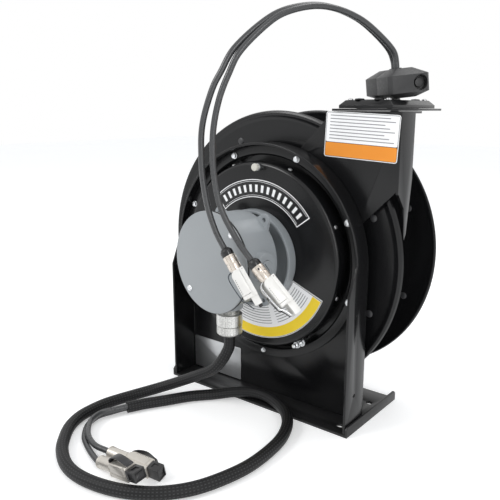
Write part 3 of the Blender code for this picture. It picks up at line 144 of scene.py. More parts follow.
# Routes of the free cords, the same points as in the part's source
sleeve_route = (
    (-0.0065, -0.1025, 0.0830), (-0.0130, -0.1060, 0.0700),
    (-0.0240, -0.1088, 0.0570), (-0.0433, -0.1100, 0.0455),
    (-0.0690, -0.1118, 0.0315), (-0.0945, -0.1172, 0.0185), (-0.1135, -0.1300, 0.0105),
    (-0.1247, -0.1498, 0.0078), (-0.1318, -0.1716, 0.0073), (-0.1365, -0.1949, 0.0073),
    (-0.1358, -0.2219, 0.0073), (-0.1310, -0.2400, 0.0073), (-0.1212, -0.2575, 0.0073),
    (-0.1070, -0.2735, 0.0073), (-0.0870, -0.2910, 0.0073),
    (-0.0610, -0.3050, 0.0073), (-0.0360, -0.3105, 0.0073), (-0.0090, -0.3090, 0.0073),
    (0.0180, -0.3020, 0.0073), (0.0415, -0.2905, 0.0073), (0.0610, -0.2745, 0.0073),
    (0.0785, -0.2500, 0.0073), (0.0900, -0.2185, 0.0073), (0.0960, -0.1855, 0.0073),
    (0.0950, -0.1485, 0.0073), (0.0895, -0.1180, 0.0076), (0.0775, -0.0905, 0.0095),
    (0.0570, -0.0690, 0.0108), (0.0260, -0.0545, 0.0108), (-0.0012, -0.0545, 0.0108),
    (-0.0240, -0.0670, 0.0100), (-0.0450, -0.0865, 0.0076), (-0.0655, -0.1095, 0.0073),
    (-0.0830, -0.1390, 0.0073), (-0.0965, -0.1610, 0.0073), (-0.1065, -0.1815, 0.0073),
)
input_a_route = (
    (-0.1165, -0.1975, 0.0042), (-0.1215, -0.2145, 0.0038), (-0.1145, -0.2358, 0.0037),
    (-0.0955, -0.2550, 0.0037), (-0.0780, -0.2650, 0.0038), (-0.0575, -0.2735, 0.0044),
)
input_b_route = (
    (-0.1122, -0.1995, 0.0095), (-0.1174, -0.2143, 0.0096), (-0.1111, -0.2336, 0.0095),
    (-0.0950, -0.2500, 0.0092), (-0.0800, -0.2590, 0.0087), (-0.0620, -0.2645, 0.0086),
)
output_a_route = (
    (0.1270, 0.0290, 0.4420),
    (0.1165, 0.0100, 0.4600), (0.1055, -0.0105, 0.4735), (0.0920, -0.0365, 0.4820),
    (0.0790, -0.0620, 0.4830), (0.0640, -0.0910, 0.4755), (0.0520, -0.1135, 0.4610),
    (0.0373, -0.1380, 0.4360), (0.0290, -0.1490, 0.4133), (0.0232, -0.1540, 0.3996),
    (0.0180, -0.1580, 0.3820), (0.0136, -0.1600, 0.3657), (0.0113, -0.1610, 0.3508),
    (0.0110, -0.1615, 0.3334), (0.0117, -0.1610, 0.3069), (0.0165, -0.1590, 0.2740),
    (0.0250, -0.1570, 0.2490),
)
output_b_route = (
    (0.1335, 0.0265, 0.4405),
    (0.1235, 0.0065, 0.4580), (0.1125, -0.0145, 0.4715), (0.0985, -0.0405, 0.4800),
    (0.0850, -0.0665, 0.4808), (0.0695, -0.0960, 0.4720), (0.0580, -0.1175, 0.4560),
    (0.0440, -0.1375, 0.4320), (0.0360, -0.1455, 0.4105), (0.0305, -0.1505, 0.3930),
    (0.0270, -0.1535, 0.3775), (0.0245, -0.1555, 0.3620), (0.0230, -0.1565, 0.3465),
    (0.0228, -0.1565, 0.3283), (0.0235, -0.1555, 0.3070), (0.0290, -0.1520, 0.2730),
    (0.0445, -0.1480, 0.2435),
)
# Each plug's cable entry, a point ahead of it on its line, and the side that its lever is on
plug_places = {
    "output_plug_a": ((0.0371, -0.1557, 0.2295), (0.0795, -0.1496, 0.1666), (-0.594, -0.656, -0.463)),
    "output_plug_b": ((0.0661, -0.1460, 0.2194), (0.1160, -0.1349, 0.1648), (-0.30, -0.91, -0.49)),
    "input_plug_a": ((-0.0334, -0.2799, 0.0071), (0.0404, -0.2874, 0.0245), (0.0, -0.15, 1.0)),
    "input_plug_b": ((-0.0389, -0.2628, 0.0086), (0.0130, -0.2575, 0.0086), (0.0, 1.0, 0.25)),
}
# The latch strips from the side: along the shell from its cable end, and up from its top
output_lever_line = (
    (0.0010, -0.0016), (0.0014, 0.0010), (0.0034, 0.0032), (0.0070, 0.0042), (0.0125, 0.0042),
    (0.0200, 0.0037), (0.0270, 0.0030), (0.0342, 0.0021), (0.0368, -0.0002), (0.0405, -0.0022),
    (0.0465, -0.0044),
)
input_lever_line = (
    (0.0010, -0.0016), (0.0016, 0.0012), (0.0045, 0.0038), (0.0090, 0.0056), (0.0140, 0.0064),
    (0.0190, 0.0062), (0.0240, 0.0050), (0.0290, 0.0034), (0.0335, 0.0022), (0.0350, 0.0015),
    (0.0360, 0.0007),
)


def spoke(radius, turn, along=0.0):
    """A point about the reel's axis, its angle counted from +X towards +Z."""
    return Vector((radius * math.cos(turn), along, axis_height + radius * math.sin(turn)))


def bolt_turns():
    return [math.radians(90.0 - angle) for angle in bolt_angles_from_top]


def box_matrix():
    """The junction box's own frame, swivelled about the slip ring's rim."""
    return (Matrix.Translation((0.0, ring_front_y, box_height)) @ Matrix.Rotation(box_swivel, 4, "Z")
            @ Matrix.Translation((0.0, -ring_front_y, 0.0)))


def stop_matrix():
    """The ball stop's own frame, from the middle of its underside; it leans on its leads."""
    place = (stop_x, stop_y, tray_low_z + tray_height + stop_seat)
    return (Matrix.Translation(place) @ Matrix.Rotation(stop_turn, 4, "Z")
            @ Matrix.Rotation(-stop_tilt, 4, "Y"))


def plug_matrix(name):
    """Local Y runs from the cable entry to the nose and local Z to the lever's side."""
    entry, towards, lever_side = plug_places[name]
    along = (Vector(towards) - Vector(entry)).normalized()
    side = Vector(lever_side)
    up = (side - along * side.dot(along)).normalized()
    turned = Matrix((along.cross(up), along, up)).transposed().to_4x4()
    return Matrix.Translation(entry) @ turned


# The camera comes first, at the photograph's viewing angle
camera_place = (0.4576, -0.6386, 0.3746)
camera_down = 0.225476
camera_turn = 0.67348
camera_lens_mm = 43.915
sensor_width_mm = 36.0


def make_camera():
    lens_data = bpy.data.cameras.new("photo_camera")
    lens_data.lens = camera_lens_mm
    lens_data.sensor_width = sensor_width_mm
    lens_data.clip_end = 20.0
    camera = bpy.data.objects.new("photo_camera", lens_data)
    bpy.context.scene.collection.objects.link(camera)
    camera.location = camera_place
    camera.rotation_euler = (math.radians(90.0) - camera_down, 0.0, camera_turn)
    bpy.context.scene.camera = camera


make_camera()


# Materials
def start_material(name):
    material = bpy.data.materials.new(name)
    material.use_nodes = True
    return material, material.node_tree, material.node_tree.nodes["Principled BSDF"]


def object_noise(tree, scale, detail=2.0, stretch=(1.0, 1.0, 1.0)):
    """Noise on the piece's own coordinates; scale counts cells a metre."""
    where = tree.nodes.new("ShaderNodeTexCoord")
    mapping = tree.nodes.new("ShaderNodeMapping")
    mapping.inputs["Scale"].default_value = stretch
    noise = tree.nodes.new("ShaderNodeTexNoise")
    noise.inputs["Scale"].default_value = scale
    noise.inputs["Detail"].default_value = detail
    tree.links.new(where.outputs["Object"], mapping.inputs["Vector"])
    tree.links.new(mapping.outputs["Vector"], noise.inputs["Vector"])
    return noise.outputs["Fac"]


def spread(tree, value, low, high, start=0.3, end=0.7):
    """Map a value between two limits."""
    remap = tree.nodes.new("ShaderNodeMapRange")
    remap.inputs["From Min"].default_value = start
    remap.inputs["From Max"].default_value = end
    remap.inputs["To Min"].default_value = low
    remap.inputs["To Max"].default_value = high
    tree.links.new(value, remap.inputs["Value"])
    return remap.outputs["Result"]


def two_tone(tree, factor, first, second):
    mix = tree.nodes.new("ShaderNodeMix")
    mix.data_type = "RGBA"
    mix.inputs["A"].default_value = (*first, 1.0)
    mix.inputs["B"].default_value = (*second, 1.0)
    tree.links.new(factor, mix.inputs["Factor"])
    return mix.outputs["Result"]


def raise_surface(tree, shader, height, depth, strength=1.0):
    bump = tree.nodes.new("ShaderNodeBump")
    bump.inputs["Distance"].default_value = depth
    bump.inputs["Strength"].default_value = strength
    tree.links.new(height, bump.inputs["Height"])
    tree.links.new(bump.outputs["Normal"], shader.inputs["Normal"])


def surface_finish(name, first, second, patch=60.0, roughness=(0.3, 0.4), grain=2500.0, depth=0.00002,
                   metallic=0.0, specular=0.5, stretch=(1.0, 1.0, 1.0)):
    """A finish with patchy colour, patchy gloss and a fine grain in relief."""
    material, tree, shader = start_material(name)
    shader.inputs["Metallic"].default_value = metallic
    shader.inputs["Specular IOR Level"].default_value = specular
    tree.links.new(two_tone(tree, object_noise(tree, patch), first, second), shader.inputs["Base Color"])
    gloss = object_noise(tree, patch * 6.0, 3.0, stretch)
    tree.links.new(spread(tree, gloss, roughness[0], roughness[1]), shader.inputs["Roughness"])
    raise_surface(tree, shader, object_noise(tree, grain, 2.0, stretch), depth)
    return material


def braid_finish(name):
    """Crossed flat yarns on a cord's own map: around it in turns and along it in metres."""
    material, tree, shader = start_material(name)
    ribs = 14.0
    crossings = 260.0
    where = tree.nodes.new("ShaderNodeUVMap")
    where.uv_map = "around_along"
    split = tree.nodes.new("ShaderNodeSeparateXYZ")
    tree.links.new(where.outputs["UV"], split.inputs["Vector"])

    def calculate(operation, first, second):
        node = tree.nodes.new("ShaderNodeMath")
        node.operation = operation
        for socket, value in zip(node.inputs, (first, second)):
            if isinstance(value, float):
                socket.default_value = value
            else:
                tree.links.new(value, socket)
        return node.outputs["Value"]

    around = calculate("MULTIPLY", split.outputs["X"], ribs)
    along = calculate("MULTIPLY", split.outputs["Y"], crossings)
    rib = calculate("PINGPONG", around, 0.5)
    first_set = calculate("PINGPONG", calculate("ADD", around, along), 0.5)
    second_set = calculate("PINGPONG", calculate("SUBTRACT", around, along), 0.5)
    yarn = calculate("MAXIMUM", first_set, second_set)
    weave = calculate("MULTIPLY", calculate("ADD", rib, 0.12), yarn)
    # The tone follows the weave's height, which also drives the relief: near black in the hollows between the
    # yarns, which is painted shade, and lighter on their raised crowns, which is painted sheen.
    weave_hollow_painted_shade = (0.0035, 0.0035, 0.004)
    weave_crown_painted_sheen = (0.050, 0.051, 0.053)
    colour = two_tone(tree, spread(tree, weave, 0.0, 1.0, 0.14, 0.31), weave_hollow_painted_shade, weave_crown_painted_sheen)
    tree.links.new(colour, shader.inputs["Base Color"])
    shader.inputs["Roughness"].default_value = 0.5
    shader.inputs["Specular IOR Level"].default_value = 0.3
    raise_surface(tree, shader, weave, 0.0009)
    return material


def knurl_finish(name):
    """Bright plated metal with a fine stippled relief."""
    material, tree, shader = start_material(name)
    shader.inputs["Metallic"].default_value = 1.0
    where = tree.nodes.new("ShaderNodeTexCoord")
    cells = tree.nodes.new("ShaderNodeTexVoronoi")
    cells.inputs["Scale"].default_value = 800.0
    cells.inputs["Randomness"].default_value = 0.45
    tree.links.new(where.outputs["Object"], cells.inputs["Vector"])
    tone = two_tone(tree, spread(tree, cells.outputs["Distance"], 0.0, 1.0, 0.1, 0.7),
                    (0.88, 0.88, 0.85), (0.42, 0.42, 0.41))
    tree.links.new(tone, shader.inputs["Base Color"])
    tree.links.new(spread(tree, object_noise(tree, 900.0), 0.28, 0.36), shader.inputs["Roughness"])
    raise_surface(tree, shader, cells.outputs["Distance"], 0.00025)
    return material


black_coat = surface_finish("black_powder_coat", (0.0058, 0.0059, 0.0065), (0.0066, 0.0067, 0.0073), 14.0,
                            (0.235, 0.255), 1400.0, 0.000003, specular=0.34)
base_coat = surface_finish("black_base_coat", (0.010, 0.010, 0.0105), (0.012, 0.012, 0.0125), 20.0,
                           (0.38, 0.42), 1400.0, 0.000006, specular=0.40)
label_black = surface_finish("black_print", (0.010, 0.010, 0.011), (0.013, 0.013, 0.014), 80.0,
                             (0.28, 0.34), 900.0, 0.000004, specular=0.35)
label_white = surface_finish("white_vinyl", (0.91, 0.91, 0.92), (0.94, 0.94, 0.94), 50.0,
                             (0.36, 0.44), 900.0, 0.000004, specular=0.4)
label_yellow = surface_finish("yellow_print", (0.93, 0.66, 0.020), (0.95, 0.69, 0.026), 60.0,
                              (0.34, 0.42), 900.0, 0.000004, specular=0.4)
label_orange = surface_finish("orange_print", (0.80, 0.27, 0.025), (0.84, 0.30, 0.03), 60.0,
                              (0.34, 0.42), 900.0, 0.000004, specular=0.4)
label_grey = surface_finish("grey_print", (0.22, 0.22, 0.23), (0.28, 0.28, 0.29), 90.0,
                            (0.36, 0.44), 900.0, 0.000004, specular=0.4)
zinc = surface_finish("zinc_plate", (0.66, 0.68, 0.70), (0.80, 0.81, 0.82), 260.0, (0.22, 0.36), 3000.0,
                      0.00002, 1.0)
steel = surface_finish("bare_steel", (0.42, 0.42, 0.43), (0.52, 0.52, 0.53), 160.0, (0.28, 0.42), 3000.0,
                       0.00002, 1.0)
spring_steel = surface_finish("blued_spring_steel", (0.08, 0.09, 0.13), (0.15, 0.15, 0.18), 90.0,
                              (0.26, 0.40),
                              2500.0, 0.00002, 1.0)
brass = surface_finish("slip_ring_brass", (0.66, 0.48, 0.20), (0.75, 0.57, 0.28), 140.0, (0.24, 0.36), 3000.0,
                       0.00002, 1.0)
insulator = surface_finish("brown_insulator", (0.075, 0.035, 0.018), (0.11, 0.055, 0.03), 120.0, (0.45, 0.6),
                           1500.0, 0.00003)
cast_grey = surface_finish("grey_cast_paint", (0.270, 0.290, 0.305), (0.295, 0.315, 0.330), 45.0,
                           (0.34, 0.44),
                           900.0, 0.00004, specular=0.5)
plate_grey = surface_finish("grey_plate_paint", (0.300, 0.318, 0.330), (0.315, 0.333, 0.345), 40.0,
                            (0.36, 0.46), 1600.0, 0.00002, specular=0.45)
# Black rubber for the box gasket. Its rim, which reaches past the cover plate, also stands for painted shadow
# under the cover's edge.
black_gasket_and_painted_shadow = surface_finish("gasket_rubber", (0.016, 0.016, 0.016), (0.024, 0.024, 0.024), 120.0,
                              (0.65, 0.85),
                              1200.0, 0.00006)
charcoal = surface_finish("charcoal_plastic", (0.026, 0.026, 0.027), (0.036, 0.036, 0.037), 70.0,
                          (0.42, 0.56),
                          1500.0, 0.00005, specular=0.42)
roller_black = surface_finish("roller_plastic", (0.03, 0.03, 0.03), (0.04, 0.04, 0.04), 120.0, (0.35, 0.5),
                              1500.0, 0.00004)
white_nylon = surface_finish("white_nylon", (0.58, 0.56, 0.50), (0.66, 0.64, 0.58), 150.0, (0.35, 0.5),
                             1500.0,
                             0.00003)
jacket = surface_finish("grey_cable_jacket", (0.038, 0.039, 0.041), (0.046, 0.047, 0.049), 50.0, (0.26, 0.32),
                        1200.0, 0.00001, specular=0.6)
wound_jacket = surface_finish("wound_cable_jacket", (0.040, 0.041, 0.043), (0.055, 0.056, 0.058), 50.0,
                              (0.34, 0.46), 1200.0, 0.00003, specular=0.45)
nickel = surface_finish("nickel_shell", (0.74, 0.73, 0.705), (0.78, 0.77, 0.745), 200.0, (0.44, 0.52), 2600.0,
                        0.00001, 0.25, 0.35)
gland_nickel = surface_finish("nickel_gland", (0.62, 0.565, 0.505), (0.70, 0.64, 0.575), 260.0, (0.24, 0.34),
                              2600.0, 0.00001, 0.85)
satin_nickel = surface_finish("satin_nickel_shell", (0.56, 0.53, 0.485), (0.64, 0.61, 0.56), 200.0,
                              (0.32, 0.44),
                              2600.0, 0.00003, 0.75)
lever_metal = surface_finish("polished_lever", (0.60, 0.61, 0.62), (0.68, 0.69, 0.69), 220.0, (0.16, 0.24),
                             2600.0, 0.000005, 1.0)
# A darkened copy of the bright lever metal, for output plug A's lever: its dark blue grey is painted shade,
# and that lever is really the same bright metal as plug B's.
lever_painted_shade = surface_finish("blue_grey_lever_painted_shade", (0.035, 0.042, 0.050), (0.060, 0.070, 0.080), 220.0,
                             (0.16, 0.26),
                             2600.0, 0.000005, 1.0)
lever_black = surface_finish("black_lever", (0.014, 0.014, 0.016), (0.022, 0.022, 0.025), 160.0, (0.26, 0.38),
                             1600.0, 0.00003)
plug_black = surface_finish("black_plug_plastic", (0.012, 0.012, 0.013), (0.02, 0.02, 0.021), 160.0,
                            (0.30, 0.44), 1600.0, 0.00003)
plate_silver = surface_finish("brushed_plate", (0.52, 0.53, 0.54), (0.60, 0.61, 0.62), 60.0, (0.30, 0.42),
                              420.0,
                              0.00003, 0.9, stretch=(0.06, 1.0, 6.0))
# Rivet heads a little lighter than the black coat that they really carry: the lighter grey is painted
# highlight on their domed heads.
rivet_painted_highlight = surface_finish("rivet_painted_highlight", (0.030, 0.030, 0.032), (0.045, 0.045, 0.047), 120.0, (0.34, 0.46),
                            1400.0, 0.00002, specular=0.5)
cap_black = surface_finish("black_gland_cap", (0.010, 0.010, 0.011), (0.013, 0.013, 0.014), 160.0,
                           (0.16, 0.24), 1600.0, 0.00001)
# Dark grey for the pressed dimples on the plug shells, which are of the shell's own metal: the dark tone is
# painted shade in their hollows. The screw by the cable end is given the same grey.
dimple_painted_shade_grey = surface_finish("dimple_painted_shade_grey", (0.08, 0.08, 0.08), (0.12, 0.12, 0.115), 300.0,
                             (0.35, 0.45), 1600.0, 0.00001, 0.6)
braid = braid_finish("braided_sleeve_yarn")
knurled = knurl_finish("stippled_zinc")


# Mesh helpers
def new_piece(name, bm, materials, smooth_angle=32.0):
    mesh = bpy.data.meshes.new(name)
    bm.to_mesh(mesh)
    bm.free()
    for material in materials:
        mesh.materials.append(material)
    mesh.shade_smooth()
    mesh.set_sharp_from_angle(angle=math.radians(smooth_angle))
    thing = bpy.data.objects.new(name, mesh)
    bpy.context.scene.collection.objects.link(thing)
    return thing


def apply_modifiers(thing):
    """Bake the live modifiers into the mesh."""
    bpy.context.view_layer.update()
    graph = bpy.context.evaluated_depsgraph_get()
    mesh = bpy.data.meshes.new_from_object(thing.evaluated_get(graph), depsgraph=graph)
    thing.modifiers.clear()
    thing.data = mesh
    return thing


def combine(thing, bm, operation):
    """Cut closed bodies out of a piece, or unite it with them."""
    bmesh.ops.recalc_face_normals(bm, faces=bm.faces)
    tool = new_piece("tool", bm, [])
    modifier = thing.modifiers.new("combine", "BOOLEAN")
    modifier.operation = operation
    modifier.solver = "EXACT"
    modifier.use_self = operation == "UNION"
    modifier.object = tool
    apply_modifiers(thing)
    bpy.data.objects.remove(tool)


def round_edges(thing, width, segments=2, angle=30.0):
    """Soften the sharp edges, as a coat of paint or a mould does."""
    modifier = thing.modifiers.new("round_edges", "BEVEL")
    modifier.width = width
    modifier.segments = segments
    modifier.limit_method = "ANGLE"
    modifier.angle_limit = math.radians(angle)
    modifier.harden_normals = False
    modifier.use_clamp_overlap = True
    apply_modifiers(thing)
    thing.data.shade_smooth()
    thing.data.set_sharp_from_angle(angle=math.radians(38.0))


def dress(thing, body, slot, *replaced):
    """Make a piece move with a body, and stand for the CAD nodes that it replaces."""
    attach(thing, body)
    if replaced:
        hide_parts(*replaced)
    return thing


def arc_points(centre, radius, start, end, steps):
    """Points of an arc, both ends included, angles in degrees."""
    points = []
    for step in range(steps + 1):
        turn = math.radians(start + (end - start) * step / steps)
        points.append((centre[0] + radius * math.cos(turn), centre[1] + radius * math.sin(turn)))
    return points


def filleted(profile, radius, steps=3):
    """Round the corners of a closed flat outline, apart from those on the axis."""
    corners = [Vector(point) for point in profile]
    points = []
    count = len(corners)
    for index, corner in enumerate(corners):
        before = corners[index - 1] - corner
        after = corners[(index + 1) % count] - corner
        turn = before.angle(after, math.pi)
        on_axis = corner.x < 1e-6
        if on_axis or turn > math.radians(172.0):
            points.append(corner)
            continue
        reach = radius / math.tan(turn / 2.0)
        reach = min(reach, 0.45 * before.length, 0.45 * after.length)
        first = corner + before.normalized() * reach
        last = corner + after.normalized() * reach
        for step in range(steps + 1):
            share = step / steps
            rounded = first * (1.0 - share) ** 2 + corner * 2.0 * share * (1.0 - share) + last * share ** 2
            points.append(rounded)
    return points


def add_revolve(bm, profile, segments, matrix=Matrix.Identity(4)):
    """A solid of revolution about the local Y axis from closed (radius, along) points."""
    turns = [2.0 * math.pi * step / segments for step in range(segments)]
    rings = []
    for radius, along in profile:
        if radius < 1e-7:
            rings.append([bm.verts.new(matrix @ Vector((0.0, along, 0.0)))])
            continue
        rings.append([bm.verts.new(matrix @ Vector((radius * math.cos(turn), along, radius * math.sin(turn))))
                      for turn in turns])
    faces = []
    for index, ring in enumerate(rings):
        following = rings[(index + 1) % len(rings)]
        if len(ring) == 1 and len(following) == 1:
            continue
        for step in range(segments):
            after = (step + 1) % segments
            corners = [ring[step % len(ring)], following[step % len(following)]]
            if len(following) > 1:
                corners.append(following[after])
            if len(ring) > 1:
                corners.append(ring[after])
            faces.append(bm.faces.new(corners))
    bmesh.ops.recalc_face_normals(bm, faces=faces)
    return faces


def add_prism(bm, outline, low, high, axis="Y", matrix=Matrix.Identity(4)):
    """Extrude a flat outline: (x, z) along Y, (y, z) along X or (x, y) along Z."""
    def place(first, second, along):
        if axis == "X":
            return Vector((along, first, second))
        if axis == "Y":
            return Vector((first, along, second))
        return Vector((first, second, along))
    front = [bm.verts.new(matrix @ place(first, second, low)) for first, second in outline]
    back = [bm.verts.new(matrix @ place(first, second, high)) for first, second in outline]
    faces = [bm.faces.new(front), bm.faces.new(list(reversed(back)))]
    count = len(outline)
    for index in range(count):
        after = (index + 1) % count
        faces.append(bm.faces.new((front[index], front[after], back[after], back[index])))
    bmesh.ops.recalc_face_normals(bm, faces=faces)
    return faces


def add_box(bm, low, high, matrix=Matrix.Identity(4)):
    outline = ((low[0], low[1]), (high[0], low[1]), (high[0], high[1]), (low[0], high[1]))
    return add_prism(bm, outline, low[2], high[2], "Z", matrix)


def cylinder_profile(radius, low, high):
    return ((0.0, low), (radius, low), (radius, high), (0.0, high))


def turned_piece(name, profile, fillet, material, segments=128, matrix=Matrix.Identity(4), smooth_angle=32.0):
    bm = bmesh.new()
    add_revolve(bm, filleted(profile, fillet), segments, matrix)
    return new_piece(name, bm, [material], smooth_angle)


def refined_copy(node, material, bevel, segments=2, angle=30.0):
    """A copy of a CAD node with its facets joined and its edges rounded."""
    bm = bmesh.new()
    bm.from_mesh(cad_nodes[node].data)
    bmesh.ops.remove_doubles(bm, verts=bm.verts, dist=0.000005)
    bmesh.ops.dissolve_limit(bm, angle_limit=math.radians(1.0), verts=bm.verts, edges=bm.edges)
    bmesh.ops.recalc_face_normals(bm, faces=bm.faces)
    thing = new_piece(node + "_dressed", bm, [material])
    round_edges(thing, bevel, segments, angle)
    return thing


# Cords
def smooth_line(first_end, route, last_end, step):
    """Even points on a smooth curve through the route, with a straight stretch at each end."""
    points = [first_end[1]] + [Vector(point) for point in route] + [last_end[1]]
    padded = [first_end[0]] + points + [last_end[0]]
    dense = [first_end[0]]
    for index in range(1, len(padded) - 2):
        before, start, end, after = padded[index - 1:index + 3]
        for part in range(24):
            t = part / 24.0
            dense.append(0.5 * (2 * start + (end - before) * t
                                + (2 * before - 5 * start + 4 * end - after) * t ** 2
                                + (3 * start - before - 3 * end + after) * t ** 3))
    dense += [points[-1], last_end[0]]
    return even_points(dense, step)


def even_points(dense, step):
    """Points a given step apart along a line."""
    lengths = [0.0]
    for start, end in zip(dense, dense[1:]):
        lengths.append(lengths[-1] + (end - start).length)
    count = max(2, round(lengths[-1] / step))
    points = []
    index = 0
    for number in range(count + 1):
        mark = lengths[-1] * number / count
        while index < len(lengths) - 2 and lengths[index + 1] < mark:
            index += 1
        span = lengths[index + 1] - lengths[index]
        share = (mark - lengths[index]) / span if span > 0.0 else 0.0
        points.append(dense[index].lerp(dense[index + 1], min(1.0, max(0.0, share))))
    return points


def line_frames(points):
    """A pair of steady cross directions at each point of a line."""
    frames = []
    tangent = (points[1] - points[0]).normalized()
    side = tangent.orthogonal().normalized()
    for index in range(len(points)):
        ahead = points[min(index + 1, len(points) - 1)]
        behind = points[max(index - 1, 0)]
        tangent = (ahead - behind).normalized()
        side = (side - tangent * side.dot(tangent)).normalized()
        frames.append((side.copy(), tangent.cross(side)))
    return frames


def tube_piece(name, points, radii, sides, material):
    """A closed tube whose map runs around it in turns and along it in metres."""
    bm = bmesh.new()
    layer = bm.loops.layers.uv.new("around_along")
    frames = line_frames(points)
    along = [0.0]
    for start, end in zip(points, points[1:]):
        along.append(along[-1] + (end - start).length)
    rings = []
    for point, radius, (side, other) in zip(points, radii, frames):
        ring = []
        for step in range(sides):
            turn = 2.0 * math.pi * step / sides
            ring.append(bm.verts.new(point + (side * math.cos(turn) + other * math.sin(turn)) * radius))
        rings.append(ring)
    for index in range(len(rings) - 1):
        for step in range(sides):
            after = (step + 1) % sides
            face = bm.faces.new((rings[index][step], rings[index][after], rings[index + 1][after],
                                 rings[index + 1][step]))
            spots = ((step, index), (step + 1, index), (step + 1, index + 1), (step, index + 1))
            for loop, (around, place) in zip(face.loops, spots):
                loop[layer].uv = (around / sides, along[place])
    bm.faces.new(list(reversed(rings[0])))
    bm.faces.new(rings[-1])
    bmesh.ops.recalc_face_normals(bm, faces=bm.faces)
    return new_piece(name, bm, [material], 50.0)


def straight_end(place, direction, diameter):
    out = Vector(direction).normalized()
    end = Vector(place) + out * gap
    return end, end + out * diameter


def stop_exit(side):
    place = stop_matrix() @ Vector((0.0, side * stop_cord_offset, stop_height))
    return straight_end(place, stop_matrix().to_3x3() @ Vector((0.0, 0.0, 1.0)), cable_diameter)


def sleeve_exit(side):
    end = Vector(sleeve_route[-1])
    along = (end - Vector(sleeve_route[-2])).normalized()
    across = along.cross(Vector((0.0, 0.0, 1.0))).normalized()
    place = end + side * (across * sleeve_cord_side - Vector((0.0, 0.0, sleeve_cord_rise)))
    return straight_end(place, along, cable_diameter)


def plug_entry(name):
    entry, towards = plug_places[name][:2]
    return straight_end(entry, Vector(entry) - Vector(towards), cable_diameter)


def gland_mouth():
    drop = port_reach + gland_collar_length + gland_length + gland_nut_length + 2.0 * gap
    place = box_matrix() @ Vector((0.0, box_rear_y - port_depth, -drop))
    return straight_end(place, (0.0, 0.0, -1.0), sleeve_diameter)


def make_cords():
    """The four free cables and the braided sleeve."""
    cords = (
        ("output_cord_a", stop_exit(1), output_a_route, plug_entry("output_plug_a")),
        ("output_cord_b", stop_exit(-1), output_b_route, plug_entry("output_plug_b")),
        ("input_cord_a", sleeve_exit(1), input_a_route, plug_entry("input_plug_a")),
        ("input_cord_b", sleeve_exit(-1), input_b_route, plug_entry("input_plug_b")),
    )
    pieces = {}
    for name, start, route, end in cords:
        points = smooth_line(start, route, end, 0.0025)
        radii = [cable_diameter / 2.0] * len(points)
        tube = tube_piece(name + "_jacket", points, radii, 20, jacket)
        pieces[name] = dress(tube, "frame", "cable_jacket", name)
    end = Vector(sleeve_route[-1])
    before = end - (end - Vector(sleeve_route[-2])).normalized() * sleeve_diameter
    points = smooth_line(gland_mouth(), sleeve_route[:-1], (end, before), 0.0025)
    radii = [sleeve_diameter / 2.0] * len(points)
    tube = tube_piece("input_sleeve_braid", points, radii, 32, braid)
    pieces["input_sleeve"] = dress(tube, "frame", "braid", "input_sleeve")
    return pieces


cord_pieces = make_cords()


# Repeated heads, placed by a node tree. A profile is (radius, height) points from the seat up.
# A recess is a bar's half length, its width, its floor, its top and how many bars cross.
skirt_screw_profile = ((0.0, 0.0), (0.0028, 0.0), (0.0025, 0.0013), (0.0012, 0.0019), (0.0, 0.0020))
skirt_screw_recess = (0.0016, 0.0006, 0.0011, 0.003, 2)
cover_screw_profile = ((0.0, 0.0), (0.0040, 0.0), (0.0039, 0.0006), (0.0032, 0.0014), (0.0018, 0.0020),
                       (0.0, 0.0022))
cover_screw_recess = (0.0044, 0.0009, 0.0012, 0.003, 1)
tray_screw_profile = ((0.0, 0.0), (0.0036, 0.0), (0.0033, 0.0014), (0.0018, 0.0022), (0.0, 0.0024))
tray_screw_recess = (0.0018, 0.0007, 0.0013, 0.004, 2)
tray_boss_profile = ((0.0, 0.0), (0.0060, 0.0), (0.0050, 0.0016), (0.0, 0.0022))
disc_rivet_profile = ((0.0, 0.0), (0.0045, 0.0), (0.0042, 0.0006), (0.0032, 0.0011), (0.0018, 0.0014),
                      (0.0, 0.0015))
dimple_profile = ((0.0, 0.0), (0.00040, 0.0), (0.00030, 0.00012), (0.0, 0.00016))


